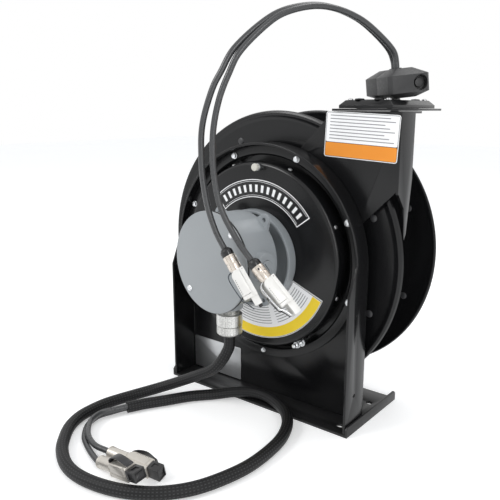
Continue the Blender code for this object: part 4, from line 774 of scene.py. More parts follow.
def heads_tree():
    """Put a head at every point, turned to face away from its seat and spun by a fixed seed."""
    tree = bpy.data.node_groups.new("heads_on_points", "GeometryNodeTree")
    sockets = (("Places", "NodeSocketGeometry"), ("Head", "NodeSocketObject"), ("Size", "NodeSocketFloat"),
               ("Spin", "NodeSocketFloat"), ("Seed", "NodeSocketInt"), ("Finish", "NodeSocketMaterial"))
    for name, kind in sockets:
        tree.interface.new_socket(name, in_out="INPUT", socket_type=kind)
    tree.interface.new_socket("Heads", in_out="OUTPUT", socket_type="NodeSocketGeometry")
    given = tree.nodes.new("NodeGroupInput")
    result = tree.nodes.new("NodeGroupOutput")
    head = tree.nodes.new("GeometryNodeObjectInfo")
    facing = tree.nodes.new("GeometryNodeInputNamedAttribute")
    facing.data_type = "FLOAT_VECTOR"
    facing.inputs["Name"].default_value = "facing"
    turn = tree.nodes.new("FunctionNodeAlignRotationToVector")
    turn.axis = "Z"
    chance = tree.nodes.new("FunctionNodeRandomValue")
    chance.data_type = "FLOAT"
    spin = tree.nodes.new("FunctionNodeAxisAngleToRotation")
    spin.inputs["Axis"].default_value = (0.0, 0.0, 1.0)
    both = tree.nodes.new("FunctionNodeRotateRotation")
    both.rotation_space = "LOCAL"
    heads = tree.nodes.new("GeometryNodeInstanceOnPoints")
    real = tree.nodes.new("GeometryNodeRealizeInstances")
    finish = tree.nodes.new("GeometryNodeSetMaterial")
    link = tree.links.new
    link(given.outputs["Head"], head.inputs["Object"])
    link(given.outputs["Places"], heads.inputs["Points"])
    link(head.outputs["Geometry"], heads.inputs["Instance"])
    link(given.outputs["Size"], heads.inputs["Scale"])
    link(facing.outputs["Attribute"], turn.inputs["Vector"])
    link(given.outputs["Spin"], chance.inputs[3])
    link(given.outputs["Seed"], chance.inputs["Seed"])
    link(chance.outputs[1], spin.inputs["Angle"])
    link(turn.outputs["Rotation"], both.inputs["Rotation"])
    link(spin.outputs["Rotation"], both.inputs["Rotate By"])
    link(both.outputs["Rotation"], heads.inputs["Rotation"])
    link(heads.outputs["Instances"], real.inputs["Geometry"])
    link(real.outputs["Geometry"], finish.inputs["Geometry"])
    link(given.outputs["Finish"], finish.inputs["Material"])
    link(finish.outputs["Geometry"], result.inputs["Heads"])
    return tree


head_layout = heads_tree()


def place_heads(name, head, spots, material, size=1.0, spin=6.283, seed=3):
    """spots are (place, direction) pairs; the result is one plain mesh."""
    mesh = bpy.data.meshes.new(name)
    mesh.from_pydata([tuple(place) for place, facing in spots], [], [])
    facings = mesh.attributes.new("facing", "FLOAT_VECTOR", "POINT")
    for value, (place, facing) in zip(facings.data, spots):
        value.vector = tuple(Vector(facing).normalized())
    thing = bpy.data.objects.new(name, mesh)
    bpy.context.scene.collection.objects.link(thing)
    modifier = thing.modifiers.new("heads", "NODES")
    modifier.node_group = head_layout
    values = {"Head": head, "Size": size, "Spin": spin, "Seed": seed, "Finish": material}
    for item in head_layout.interface.items_tree:
        if item.in_out == "INPUT" and item.name in values:
            modifier[item.identifier] = values[item.name]
    apply_modifiers(thing)
    thing.data.shade_smooth()
    thing.data.set_sharp_from_angle(angle=math.radians(32.0))
    return thing


def head_shape(name, profile, segments, recess=None):
    """A head about Z, from (radius, height) points, with a cross or slot cut in its top."""
    bm = bmesh.new()
    flip = Matrix.Rotation(math.radians(90.0), 4, "X")
    add_revolve(bm, profile, segments, flip)
    shape = new_piece(name, bm, [])
    if recess is not None:
        reach, width, floor, top, bars = recess
        for bar in range(bars):
            cut = bmesh.new()
            turned = Matrix.Rotation(math.pi / 2.0 * bar, 4, "Z")
            add_box(cut, (-reach, -width / 2.0, floor), (reach, width / 2.0, top), turned)
            combine(shape, cut, "DIFFERENCE")
    return shape


def hex_head(name, washer, across, height):
    """A hexagon head on a washer face, with softened edges."""
    bm = bmesh.new()
    flip = Matrix.Rotation(math.radians(90.0), 4, "X")
    add_revolve(bm, filleted(((0.0, 0.0), (washer, 0.0), (washer, 0.0011), (0.0, 0.0011)), 0.0003), 32, flip)
    shape = new_piece(name, bm, [])
    cap = bmesh.new()
    outline = [(across * math.cos(math.radians(60.0 * side)), across * math.sin(math.radians(60.0 * side)))
               for side in range(6)]
    add_prism(cap, outline, 0.0006, height, "Z")
    combine(shape, cap, "UNION")
    round_edges(shape, 0.0003, 2, 28.0)
    return shape


def hide_shape(shape):
    bpy.data.objects.remove(shape)


# Frame
def frame_outline(half_width, bottom, steps=96):
    top = arc_points((0.0, axis_height), half_width, 0.0, 180.0, steps)
    return [(half_width, bottom)] + top + [(-half_width, bottom)]


def slot_outline(centre_x, centre_z, length, width, steps=8):
    half = (length - width) / 2.0
    right = arc_points((centre_x + half, centre_z), width / 2.0, -90.0, 90.0, steps)
    left = arc_points((centre_x - half, centre_z), width / 2.0, 90.0, 270.0, steps)
    return right + left


def make_frame():
    bottom = 0.0033
    bm = bmesh.new()
    add_prism(bm, frame_outline(frame_half_width, bottom), flange_front_y, web_back_y)
    upright = new_piece("frame_upright_dressed", bm, [black_coat])
    inner = bmesh.new()
    add_prism(inner, frame_outline(frame_half_width - frame_sheet, bottom - 0.01), flange_front_y - 0.01,
              web_front_y)
    combine(upright, inner, "DIFFERENCE")
    beyond = flange_front_y - 0.01
    reach = frame_half_width + 0.01
    outline = ((beyond, rim_start_z), (flange_front_y, rim_start_z), (rim_front_y, axis_height + 0.008),
               (rim_front_y, axis_height + reach), (beyond, axis_height + reach))
    trim = bmesh.new()
    add_prism(trim, outline, -reach, reach, "X")
    combine(upright, trim, "DIFFERENCE")
    holes = bmesh.new()
    for turn in bolt_turns():
        add_revolve(holes, cylinder_profile(bolt_hole_radius, web_back_y - 0.006, web_back_y + 0.002), 20,
                    Matrix.Translation(spoke(bolt_circle, turn)))
    for height in (0.046, 0.144):
        outline = [(-0.044 + along, height + up) for along, up in slot_outline(0.0, 0.0, 0.005, 0.0035)]
        add_prism(holes, outline, frame_half_width - 0.005, frame_half_width + 0.005, "X")
    combine(upright, holes, "DIFFERENCE")
    round_edges(upright, 0.0011, 3, 40.0)
    dress(upright, "frame", "black_coat", "frame_upright")
    dress(refined_copy("base_foot", base_coat, 0.0009, 3), "frame", "black_coat", "base_foot")


def make_clamp_ring():
    outer = frame_half_width - frame_sheet - gap
    back = web_front_y - gap
    edge = 0.002
    profile = ((outer, back), (outer, clamp_front_y), (clamp_inner_radius + edge, clamp_front_y),
               (clamp_inner_radius, clamp_front_y + edge), (clamp_inner_radius, back),
               (clamp_inner_radius + clamp_sheet, back),
               (clamp_inner_radius + clamp_sheet, clamp_front_y + clamp_sheet),
               (outer - clamp_sheet, clamp_front_y + clamp_sheet), (outer - clamp_sheet, back))
    ring = turned_piece("clamp_ring_dressed", profile, 0.0009, black_coat, 192,
                        Matrix.Translation(axis_place))
    dress(ring, "frame", "black_coat", "clamp_ring")
    head = hex_head("clamp_bolt_head", 0.0040, 0.0034, 0.0036)
    spots = [(spoke(bolt_circle, turn, clamp_front_y), (0.0, -1.0, 0.0)) for turn in bolt_turns()]
    names = ["frame_bolt_" + str(number) for number in range(1, 8)]
    dress(place_heads("clamp_bolts", head, spots[:6], zinc), "frame", "zinc", *names[:6])
    dress(place_heads("low_clamp_bolt", head, spots[6:], zinc, 0.75), "frame", "zinc", names[6])
    hide_shape(head)


def make_spring_cover():
    back = web_front_y - gap
    inside = cover_radius - cover_sheet
    edge = cover_edge
    bend = arc_points((cover_radius - edge, cover_front_y + edge), edge, -90.0, 0.0, 8)
    inner_bend = arc_points((cover_radius - edge, cover_front_y + edge), edge - cover_sheet, 0.0, -90.0, 6)
    profile = [(cover_hole, cover_front_y), (cover_radius * 0.7, cover_front_y)] + bend
    profile += [(cover_radius, back),
                (inside, back)] + inner_bend + [(cover_hole, cover_front_y + cover_sheet)]
    bm = bmesh.new()
    add_revolve(bm, profile, 192, Matrix.Translation(axis_place))
    cover = new_piece("spring_cover_dressed", bm, [black_coat])
    dress(cover, "frame", "black_coat", "spring_cover")
    head = head_shape("skirt_screw_head", filleted(skirt_screw_profile, 0.0004), 24, skirt_screw_recess)
    along = (cover_front_y + web_front_y) / 2.0 - 0.005
    spots = []
    for turn in bolt_turns()[:6]:
        direction = (math.cos(turn), 0.0, math.sin(turn))
        spots.append((spoke(cover_radius - 0.0001, turn, along), direction))
    dress(place_heads("skirt_screws", head, spots, steel), "frame", "zinc")
    hide_shape(head)


def make_cover_fasteners():
    """The white capped pin near the top of the cover, and the bolt that anchors the spring."""
    spot = Matrix.Translation(spoke(cover_radius - 0.006, cover_pin_angle))
    front = cover_front_y - 0.0105
    profile = ((0.0, front), (0.0042, front), (0.0045, front + 0.0006), (0.0045, front + 0.0034),
               (0.0028, front + 0.0036), (0.0028, cover_front_y + 0.003), (0.0, cover_front_y + 0.003))
    pin = turned_piece("cover_pin_dressed", profile, 0.0004, white_nylon, 40, spot)
    dress(pin, "frame", "white_nylon", "cover_pin")
    collar = ((0.0030, cover_front_y - 0.0042), (0.0042, cover_front_y - 0.0042),
              (0.0042, cover_front_y - 0.0002),
              (0.0030, cover_front_y - 0.0002))
    dress(turned_piece("cover_pin_collar", collar, 0.0004, zinc, 32, spot), "frame", "zinc")
    spot = Matrix.Translation(spoke(anchor_radius, anchor_angle))
    tip = cover_front_y - 0.003
    rod = 0.0026
    profile = [(0.0, tip), (rod - 0.0008, tip), (rod, tip + 0.0008), (rod, tip + 0.0034)]
    for thread in range(12):
        start = tip + 0.0036 + thread * 0.0009
        profile += [(rod, start), (rod - 0.0004, start + 0.00045)]
    profile += [(rod, web_back_y - gap), (0.0, web_back_y - gap)]
    bm = bmesh.new()
    add_revolve(bm, profile, 24, spot)
    dress(new_piece("anchor_bolt_dressed", bm, [zinc]), "frame", "zinc", "spring_anchor_bolt")
    forward = Matrix.Rotation(math.radians(90.0), 4, "X")
    for name, washer, across, height, along in (("anchor_nut", 0.0046, 0.0041, 0.0040, tip + 0.0098),
                                                ("anchor_seat", 0.0054, 0.0044, 0.0032, clamp_front_y - gap)):
        nut = hex_head(name, washer, across, height)
        nut.data.transform(spot @ Matrix.Translation((0.0, along, 0.0)) @ forward)
        nut.data.materials.append(zinc)
        dress(nut, "frame", "zinc")


def make_nameplate():
    """A blank brushed plate with rounded corners and soft edges."""
    left, right, low, high = -0.1355, -0.0485, 0.005, 0.052
    back = web_front_y - gap
    bm = bmesh.new()
    # filleted leaves corners at or left of nought sharp, so the outline is moved over while it is rounded
    shift = 1.0
    corners = ((left + shift, low), (right + shift, low), (right + shift, high), (left + shift, high))
    outline = [(x - shift, z) for x, z in filleted(corners, 0.0022, 6)]
    add_prism(bm, outline, back - 0.0006, back)
    plate = new_piece("nameplate_dressed", bm, [plate_silver])
    round_edges(plate, 0.00018, 2)
    dress(plate, "frame", "zinc", "nameplate")


# Junction box
def ear_outline(turn):
    centre = Vector((ear_reach * math.cos(turn), ear_reach * math.sin(turn)))
    points = arc_points(centre, ear_radius, math.degrees(turn) - 80.0, math.degrees(turn) + 80.0, 14)
    for side in (1, -1):
        foot = turn + side * math.radians(12)
        reach = box_radius - box_wall / 2.0
        points.append((reach * math.cos(foot), reach * math.sin(foot)))
    return points


def make_junction_box():
    place = box_matrix()
    front = box_rear_y - box_depth
    inner = box_radius - box_wall
    shoulder = box_rear_y - box_shoulder
    bore = nipple_radius - box_wall
    nipple_end = box_rear_y + nipple_length
    profile = ((bore, nipple_end), (nipple_radius, nipple_end), (nipple_radius, box_rear_y),
               (box_rear_radius, box_rear_y), (box_radius - 0.001, shoulder), (box_radius, front),
               (inner, front),
               (inner, shoulder), (box_rear_radius - 0.002, box_rear_y - box_wall),
               (bore, box_rear_y - box_wall))
    bm = bmesh.new()
    add_revolve(bm, filleted(profile, 0.0014, 4), 144, place)
    box = new_piece("junction_box_dressed", bm, [cast_grey])
    port_y = box_rear_y - port_depth
    down = place @ Matrix.Translation((0.0, port_y, 0.0)) @ Matrix.Rotation(math.radians(-90), 4, "X")
    side = place @ Matrix.Translation((0.0, port_y, 0.0)) @ Matrix.Rotation(math.radians(-90), 4, "Z")
    parts = bmesh.new()
    port = ((0.0, inner - 0.002), (port_radius + 0.0012, inner - 0.002), (port_radius, port_reach),
            (0.0, port_reach))
    for matrix in (down, side):
        add_revolve(parts, filleted(port, 0.0009), 72, matrix)
    combine(box, parts, "UNION")
    for angle in ear_angles:
        ear = bmesh.new()
        add_prism(ear, ear_outline(math.radians(angle)), shoulder - ear_thickness, shoulder, "Y", place)
        combine(box, ear, "UNION")
    holes = bmesh.new()
    for angle in ear_angles:
        turn = math.radians(angle)
        spot = Matrix.Translation((ear_reach * math.cos(turn), 0.0, ear_reach * math.sin(turn)))
        add_revolve(holes, cylinder_profile(ear_hole, shoulder - ear_thickness - 0.002, shoulder + 0.002), 28,
                    place @ spot)
    add_revolve(holes, cylinder_profile(plug_face_radius + gap, port_reach - 0.004, port_reach + 0.002), 48,
                side)
    combine(box, holes, "DIFFERENCE")
    round_edges(box, 0.0006, 2, 34.0)
    dress(box, "frame", "grey_casting", "junction_box")
    # The gasket reaches a little past the cover plate's rim, so its black edge shows as a dark line behind
    # the cover: this is painted shadow of the cover's overhang, on a real black rubber gasket.
    rim = cover_plate_radius + 0.0003
    gasket = ((inner, front - gasket_thickness - gap), (rim, front - gasket_thickness - gap),
              (rim, front - gap), (inner, front - gap))
    dress(turned_piece("box_gasket_dressed", gasket, 0.0004, black_gasket_and_painted_shadow, 144, place), "frame",
          "gasket_rubber",
          "box_gasket")
    make_box_cover(place, front)
    make_closure_plug(side)
    make_gland(down)


def make_box_cover(place, front):
    plate_back = front - gasket_thickness - 2.0 * gap
    plate_front = plate_back - cover_plate_thickness
    rim = cover_plate_radius
    profile = ((0.0, plate_front), (rim, plate_front), (rim, plate_back), (0.0, plate_back))
    plate = turned_piece("box_cover_dressed", profile, 0.0009, plate_grey, 192, place)
    dress(plate, "frame", "grey_casting", "box_cover")
    head = head_shape("cover_screw_head", cover_screw_profile, 36, cover_screw_recess)
    spots = []
    for angle in (46.0, 226.0):
        turn = math.radians(angle)
        reach = rim - 0.008
        spot = place @ Vector((reach * math.cos(turn), plate_front, reach * math.sin(turn)))
        spots.append((spot, place.to_3x3() @ Vector((0.0, -1.0, 0.0))))
    dress(place_heads("cover_screws", head, spots, zinc, seed=5), "frame", "zinc")
    hide_shape(head)


def make_closure_plug(side):
    """A round plug with a screwdriver slot, screwed into the side port."""
    low = port_reach - 0.004 + gap
    high = port_reach + 0.001
    face = plug_face_radius
    bm = bmesh.new()
    add_revolve(bm, filleted(((0.0, low), (face, low), (face, high), (0.0, high)), 0.0004), 64, side)
    plug = new_piece("closure_plug_dressed", bm, [cast_grey])
    slot = bmesh.new()
    add_box(slot, (-0.0007, port_reach - 0.0006, -0.0064), (0.0007, port_reach + 0.002, 0.0064),
            side @ Matrix.Rotation(math.radians(40), 4, "Y"))
    combine(plug, slot, "DIFFERENCE")
    plug.data.shade_smooth()
    plug.data.set_sharp_from_angle(angle=math.radians(32.0))
    dress(plug, "frame", "grey_casting", "closure_plug")


def make_gland(down):
    """A zinc cable gland: threaded collar, stippled body and a grooved clamping nut."""
    start = port_reach + gap
    body_low = start + gland_collar_length
    body_high = body_low + gland_length
    collar = gland_collar_radius
    profile = [(0.0, start), (collar, start)]
    for thread in range(4):
        mark = start + 0.0006 + thread * 0.0012
        profile += [(collar, mark), (collar - 0.0006, mark + 0.0006)]
    profile += [(collar, body_low - 0.0002), (gland_radius - 0.0012, body_low),
                (gland_radius, body_low + 0.0008),
                (gland_radius, body_high), (0.0, body_high)]
    bm = bmesh.new()
    add_revolve(bm, profile, 96, down)
    dress(new_piece("cable_gland_dressed", bm, [knurled]), "frame", "zinc", "cable_gland")
    nut_low = body_high + gap
    nut_high = nut_low + gland_nut_length
    wide = gland_radius - 0.0004
    profile = ((0.0, nut_low), (wide - 0.0008, nut_low), (wide - 0.0008, nut_low + 0.0006),
               (wide, nut_low + 0.0012), (wide, nut_high - 0.0018), (gland_radius - 0.0020, nut_high),
               (0.0, nut_high))
    bm = bmesh.new()
    add_revolve(bm, profile, 96, down)
    dress(new_piece("gland_nut_dressed", bm, [knurled]), "frame", "zinc", "gland_nut")
    turned = down.to_3x3()
    along = turned @ Vector((0.0, 1.0, 0.0))
    middle = (nut_low + nut_high) / 2.0
    ribs = bmesh.new()
    for number in range(nut_rib_count):
        turn = 2.0 * math.pi * number / nut_rib_count
        direction = Vector((math.cos(turn), 0.0, math.sin(turn)))
        place = down @ (direction * (wide - 0.0001) + Vector((0.0, middle, 0.0)))
        out = turned @ direction
        matrix = Matrix((along, along.cross(out), out)).transposed().to_4x4()
        add_box(ribs, (-0.0038, -0.00030, -0.0004), (0.0038, 0.00030, 0.00024),
                Matrix.Translation(place) @ matrix)
    dress(new_piece("gland_nut_ribs", ribs, [knurled]), "frame", "zinc")


def make_slip_ring():
    back = cover_front_y - gap
    floor = back - 0.002
    inner = ring_radius - ring_wall
    hole = 0.024
    profile = ((hole, back), (ring_radius, back), (ring_radius, ring_front_y), (inner, ring_front_y),
               (inner, floor), (hole, floor))
    ring = turned_piece("slip_ring_dressed", profile, 0.0010, cast_grey, 144, Matrix.Translation(axis_place))
    dress(ring, "frame", "grey_casting", "slip_ring_housing")


# Guide arm, tray, rollers and ball stop
def make_guide():
    dress(refined_copy("guide_arm", black_coat, 0.0007, 3), "frame", "black_coat", "guide_arm")
    dress(refined_copy("roller_plate", black_coat, 0.0006, 2), "frame", "black_coat", "roller_plate")
    dress(refined_copy("roller_tray", black_coat, 0.0022, 4, 24.0), "frame", "black_coat", "roller_tray")
    head = head_shape("tray_screw_head", filleted(tray_screw_profile, 0.0003), 28, tray_screw_recess)
    top = tray_low_z + tray_height
    inset = 0.0095
    spots = []
    bosses = []
    for side in (-1, 1):
        for end in (-1, 1):
            corner_x = guide_x + side * (tray_length / 2.0 - inset)
            corner_y = spool_middle_y + end * (tray_width / 2.0 - inset)
            spots.append(((corner_x, corner_y, top), (0.0, 0.0, 1.0)))
            bosses.append(((guide_x + side * 0.012, corner_y, top), (0.0, 0.0, 1.0)))
    dress(place_heads("tray_screws", head, spots, steel, 0.9, seed=9), "frame", "zinc")
    hide_shape(head)
    boss = head_shape("tray_boss_head", filleted(tray_boss_profile, 0.0006), 28)
    dress(place_heads("tray_bosses", boss, bosses, black_coat, seed=4), "frame", "black_coat")
    hide_shape(boss)
    for name in ("roller_front", "roller_rear", "roller_inner", "roller_outer"):
        dress(refined_copy(name, roller_black, 0.0003, 2), name, "black_plastic", name)


def make_ball_stop():
    for name in ("ball_stop_front_half", "ball_stop_rear_half"):
        dress(refined_copy(name, charcoal, 0.0012, 3, 24.0), "frame", "charcoal_plastic", name)
    bm = bmesh.new()
    turned = stop_matrix() @ Matrix.Rotation(math.radians(90.0), 4, "Z")
    add_prism(bm, slot_outline(0.0, 0.0, 0.0180, 0.0110, 16), stop_height - 0.001, stop_height + 0.0010, "Z",
              turned)
    grommet = new_piece("ball_stop_grommet", bm, [charcoal])
    holes = bmesh.new()
    for side in (-1, 1):
        spot = stop_matrix() @ Matrix.Translation((0.0, side * stop_cord_offset, 0.0))
        spot = spot @ Matrix.Rotation(math.radians(90.0), 4, "X")
        add_revolve(holes, cylinder_profile(cable_diameter / 2.0 + 0.0002, stop_height - 0.0002,
                                            stop_height + 0.01), 28, spot)
    combine(grommet, holes, "DIFFERENCE")
    round_edges(grommet, 0.0003, 2, 40.0)
    dress(grommet, "frame", "charcoal_plastic")


# Spool
def disc_profile(outwards, inner):
    """A flat disc with a rolled rim; outwards is -1 for the near disc and +1 for the far one."""
    outer = inner + outwards * disc_sheet
    roll = disc_roll
    hole = spindle_radius + gap
    return [(hole, outer), (disc_radius - 3.4 * roll, outer),
            (disc_radius - 2.5 * roll, outer + outwards * 0.0003),
            (disc_radius - 1.9 * roll, outer + outwards * roll * 0.45),
            (disc_radius - 1.4 * roll, outer + outwards * roll * 0.68),
            (disc_radius - 0.9 * roll, outer + outwards * roll * 0.66),
            (disc_radius - 0.3 * roll, outer + outwards * roll * 0.38),
            (disc_radius, inner + outwards * 0.001),
            (disc_radius - 0.3 * roll, inner - outwards * roll * 0.2),
            (disc_radius - 0.8 * roll, inner - outwards * roll * 0.36),
            (disc_radius - 1.4 * roll, inner - outwards * roll * 0.2), (disc_radius - 2.2 * roll, inner),
            (hole, inner)]


def make_discs():
    head = head_shape("disc_rivet_head", disc_rivet_profile, 28)
    near_inner = near_disc_y + disc_sheet
    for name, outwards, inner in (("near_disc", -1, near_inner), ("far_disc", 1, far_disc_y)):
        bm = bmesh.new()
        add_revolve(bm, disc_profile(outwards, inner), 224, Matrix.Translation(axis_place))
        disc = new_piece(name + "_dressed", bm, [black_coat], 40.0)
        dress(disc, "spool", "black_coat", name)
        spots = []
        for index in range(rivet_count):
            turn = 2.0 * math.pi * (index + 0.5) / rivet_count
            outer = inner + outwards * disc_sheet
            spots.append((spoke(rivet_circle, turn, outer), (0.0, float(outwards), 0.0)))
            spots.append((spoke(rivet_circle, turn, inner), (0.0, float(-outwards), 0.0)))
        # The rivets' lighter grey is painted highlight.
        dress(place_heads(name + "_rivets", head, spots, rivet_painted_highlight), "spool", "black_coat")
    hide_shape(head)


def helix_points(radius, first_y, pitch, turns, steps):
    """A helix about the reel's axis, from its angle zero."""
    points = []
    for step in range(round(turns * steps) + 1):
        turn = 2.0 * math.pi * step / steps
        points.append(spoke(radius, turn, first_y + pitch * step / steps))
    return points


def make_winding():
    """The outer layer of both leads, the layer under it, and the core that carries them."""
    low = near_disc_y + disc_sheet + gap
    high = far_disc_y - gap
    whole = winding_pitch * winding_cables * turns_per_cable + (winding_cables - 1) * winding_pitch
    first = (low + high) / 2.0 - whole / 2.0
    for lead, name in ((0, "wound_cable_a"), (1, "wound_cable_b")):
        points = helix_points(winding_radius, first + lead * winding_pitch, winding_pitch * winding_cables,
                              turns_per_cable, 72)
        start = points[0] - (points[1] - points[0]).normalized() * cable_diameter
        end = points[-1] + (points[-1] - points[-2]).normalized() * cable_diameter
        points = [start] + points + [end]
        radii = [cable_diameter / 2.0] * len(points)
        turns = tube_piece(name + "_turns", points, radii, 14, wound_jacket)
        dress(turns, "spool", "cable_jacket", name)
    under = winding_radius - cable_diameter * 0.92
    count = int((high - low - cable_diameter) / winding_pitch)
    points = helix_points(under, low + cable_diameter / 2.0 + gap, (high - low - cable_diameter) / count,
                          count, 60)
    radii = [cable_diameter / 2.0] * len(points)
    layer = tube_piece("under_layer_turns", points, radii, 10, wound_jacket)
    dress(layer, "spool", "cable_jacket", "cable_pack")
    core = ((drum_radius + gap, low), (under - cable_diameter * 0.35, low),
            (under - cable_diameter * 0.35, high),
            (drum_radius + gap, high))
    dress(turned_piece("under_layer_core", core, 0.001, wound_jacket, 96, Matrix.Translation(axis_place)),
          "spool",
          "cable_jacket")
    hub = spindle_radius + gap
    hub_wall = hub + drum_wall
    web_low = (low + high) / 2.0 - drum_wall / 2.0
    web_high = web_low + drum_wall
    inside = drum_radius - drum_wall
    profile = ((drum_radius, low), (drum_radius, high), (inside, high), (inside, web_high),
               (hub_wall, web_high),
               (hub_wall, high), (hub, high), (hub, low), (hub_wall, low), (hub_wall, web_low),
               (inside, web_low),
               (inside, low))
    dress(turned_piece("drum_dressed", profile, 0.0006, black_coat, 96, Matrix.Translation(axis_place)),
          "spool",
          "black_coat", "drum")


def make_feed_run():
    """The two leads leave the winding and rise through the roller tray to the ball stop."""
    outside = winding_radius + cable_diameter + feed_clearance
    for side, name in ((-1, "feed_cable_a"), (1, "feed_cable_b")):
        along = spool_middle_y + side * winding_pitch / 2.0
        across_stop = (along - stop_y) * math.sin(stop_turn) - cable_diameter / 2.0
        top = stop_matrix().translation.z + across_stop * math.tan(stop_tilt) - gap
        line = [spoke(outside - 0.0012, math.radians(-118.0), along)]
        for degrees in range(-112, 1, 8):
            line.append(spoke(outside, math.radians(degrees), along))
        for share in (0.25, 0.5, 0.75, 1.0):
            across = outside + (stop_x - outside) * share ** 2
            line.append(Vector((across, along, axis_height + (top - axis_height) * share)))
        points = smooth_line((line[0], line[0].lerp(line[1], 0.5)), line[1:-1],
                             (line[-1], line[-1] - Vector((0.0, 0.0, cable_diameter))), 0.003)
        radii = [cable_diameter / 2.0] * len(points)
        dress(tube_piece(name + "_run", points, radii, 18, jacket), "frame", "cable_jacket", name)


def give_finish(material, *names):
    """A better material for CAD nodes whose shape stays."""
    for name in names:
        thing = cad_nodes[name]
        for slot in thing.material_slots:
            slot.material = material


# Plugs
# Output plug A's lever has the darkened copy, which is painted shade; output plug B's has the bright lever
# metal.
lever_finishes = {"output_plug_a": lever_painted_shade, "output_plug_b": lever_metal, "input_plug_a": lever_black,
                  "input_plug_b": lever_black}
window_panel = {"output_plug_a": 0, "output_plug_b": 4}


def plug_marks():
    cap = plug_cap_length
    gland = cap + plug_gland_length
    shell = gland + plug_shell_length
    return cap, gland, shell, shell + plug_nose_length


def make_plug(name, is_output):
    place = plug_matrix(name)
    cap_end, gland_end, shell_end, nose_end = plug_marks()
    shell_finish = nickel if is_output else satin_nickel
    pieces = [make_plug_shell(name, place, gland_end, shell_end, shell_finish)]
    dress(pieces[0], "frame", "nickel", name)
    pieces += make_shell_rivets(name, place, gland_end)
    if is_output:
        pieces += make_capped_gland(name, place, cap_end, gland_end)
    else:
        pieces.append(make_plain_gland(name, place, gland_end, shell_finish))
    pieces += make_plug_nose(name, place, shell_end, nose_end, is_output)
    make_plug_lever(name, place, gland_end, is_output)
    return pieces


def make_plug_shell(name, place, gland_end, shell_end, finish):
    """The shell: a rail along the side away from the lever, and a raised pad with a round corner."""
    low = -plug_shell_height / 2.0
    high = plug_shell_height / 2.0
    radius = plug_corner_radius
    half = plug_shell_width / 2.0
    fold = low + 0.0050
    corner = arc_points((gland_end + radius, high - radius), radius, 180.0, 90.0, 12)
    outline = [(gland_end, low), *corner, (shell_end, high), (shell_end, low)]
    bm = bmesh.new()
    add_prism(bm, outline, -half + 0.0004, half - 0.0004, "X", place)
    shell = new_piece(name + "_shell", bm, [finish])
    round_edges(shell, 0.0008, 3, 30.0)
    rails = bmesh.new()
    add_box(rails, (-half, gland_end + 0.0002, low + 0.0002), (half, shell_end - 0.0002, fold - 0.0005),
            place)
    combine(shell, rails, "UNION")
    pads = bmesh.new()
    bend = 0.0052
    pad_low = fold + 0.0001
    pad_high = high - 0.0007
    pad = arc_points((gland_end + 0.0032 + bend, pad_high - bend), bend, 180.0, 90.0, 8)
    pad += arc_points((shell_end - 0.0020, pad_high - 0.0012), 0.0012, 90.0, 0.0, 4)
    pad += [(shell_end - 0.0008, pad_low), (gland_end + 0.0032, pad_low)]
    add_prism(pads, pad, -half - 0.0001, half + 0.0001, "X", place)
    combine(shell, pads, "UNION")
    grooves = bmesh.new()
    add_box(grooves, (-half - 0.001, shell_end - 0.0046, fold + 0.0008),
            (half + 0.001, shell_end - 0.0042, high + 0.001), place)
    combine(shell, grooves, "DIFFERENCE")
    round_edges(shell, 0.00018, 2, 34.0)
    return shell


def make_shell_rivets(name, place, gland_end):
    """A row of small dimples along the pad and one screw by the cable end, on both faces."""
    head = head_shape(name + "_dimple", dimple_profile, 8)
    half = plug_shell_width / 2.0
    edge = plug_shell_height / 2.0 - 0.0016
    spots = []
    for side in (-1, 1):
        facing = place.to_3x3() @ Vector((side, 0.0, 0.0))
        for number in range(8):
            along = gland_end + 0.0105 + number * 0.0023
            spots.append((place @ Vector((side * (half + 0.0001), along, edge)), facing))
        screw = Vector((side * half, gland_end + 0.0022, -plug_shell_height / 2.0 + 0.0020))
        spots.append((place @ screw, facing))
    # The dimples' dark grey is painted shade.
    rivets = place_heads(name + "_dimples", head, spots, dimple_painted_shade_grey, 1.25)
    hide_shape(head)
    return [dress(rivets, "frame", "nickel")]


def barrel_place(place, along, turn, radius):
    """The frame of a spot on a plug's barrel, its Z pointing outwards."""
    stand = Matrix.Rotation(math.radians(90.0) - turn, 4, "Y")
    return place @ Matrix.Translation((0.0, along, 0.0)) @ stand @ Matrix.Translation((0.0, 0.0, radius))


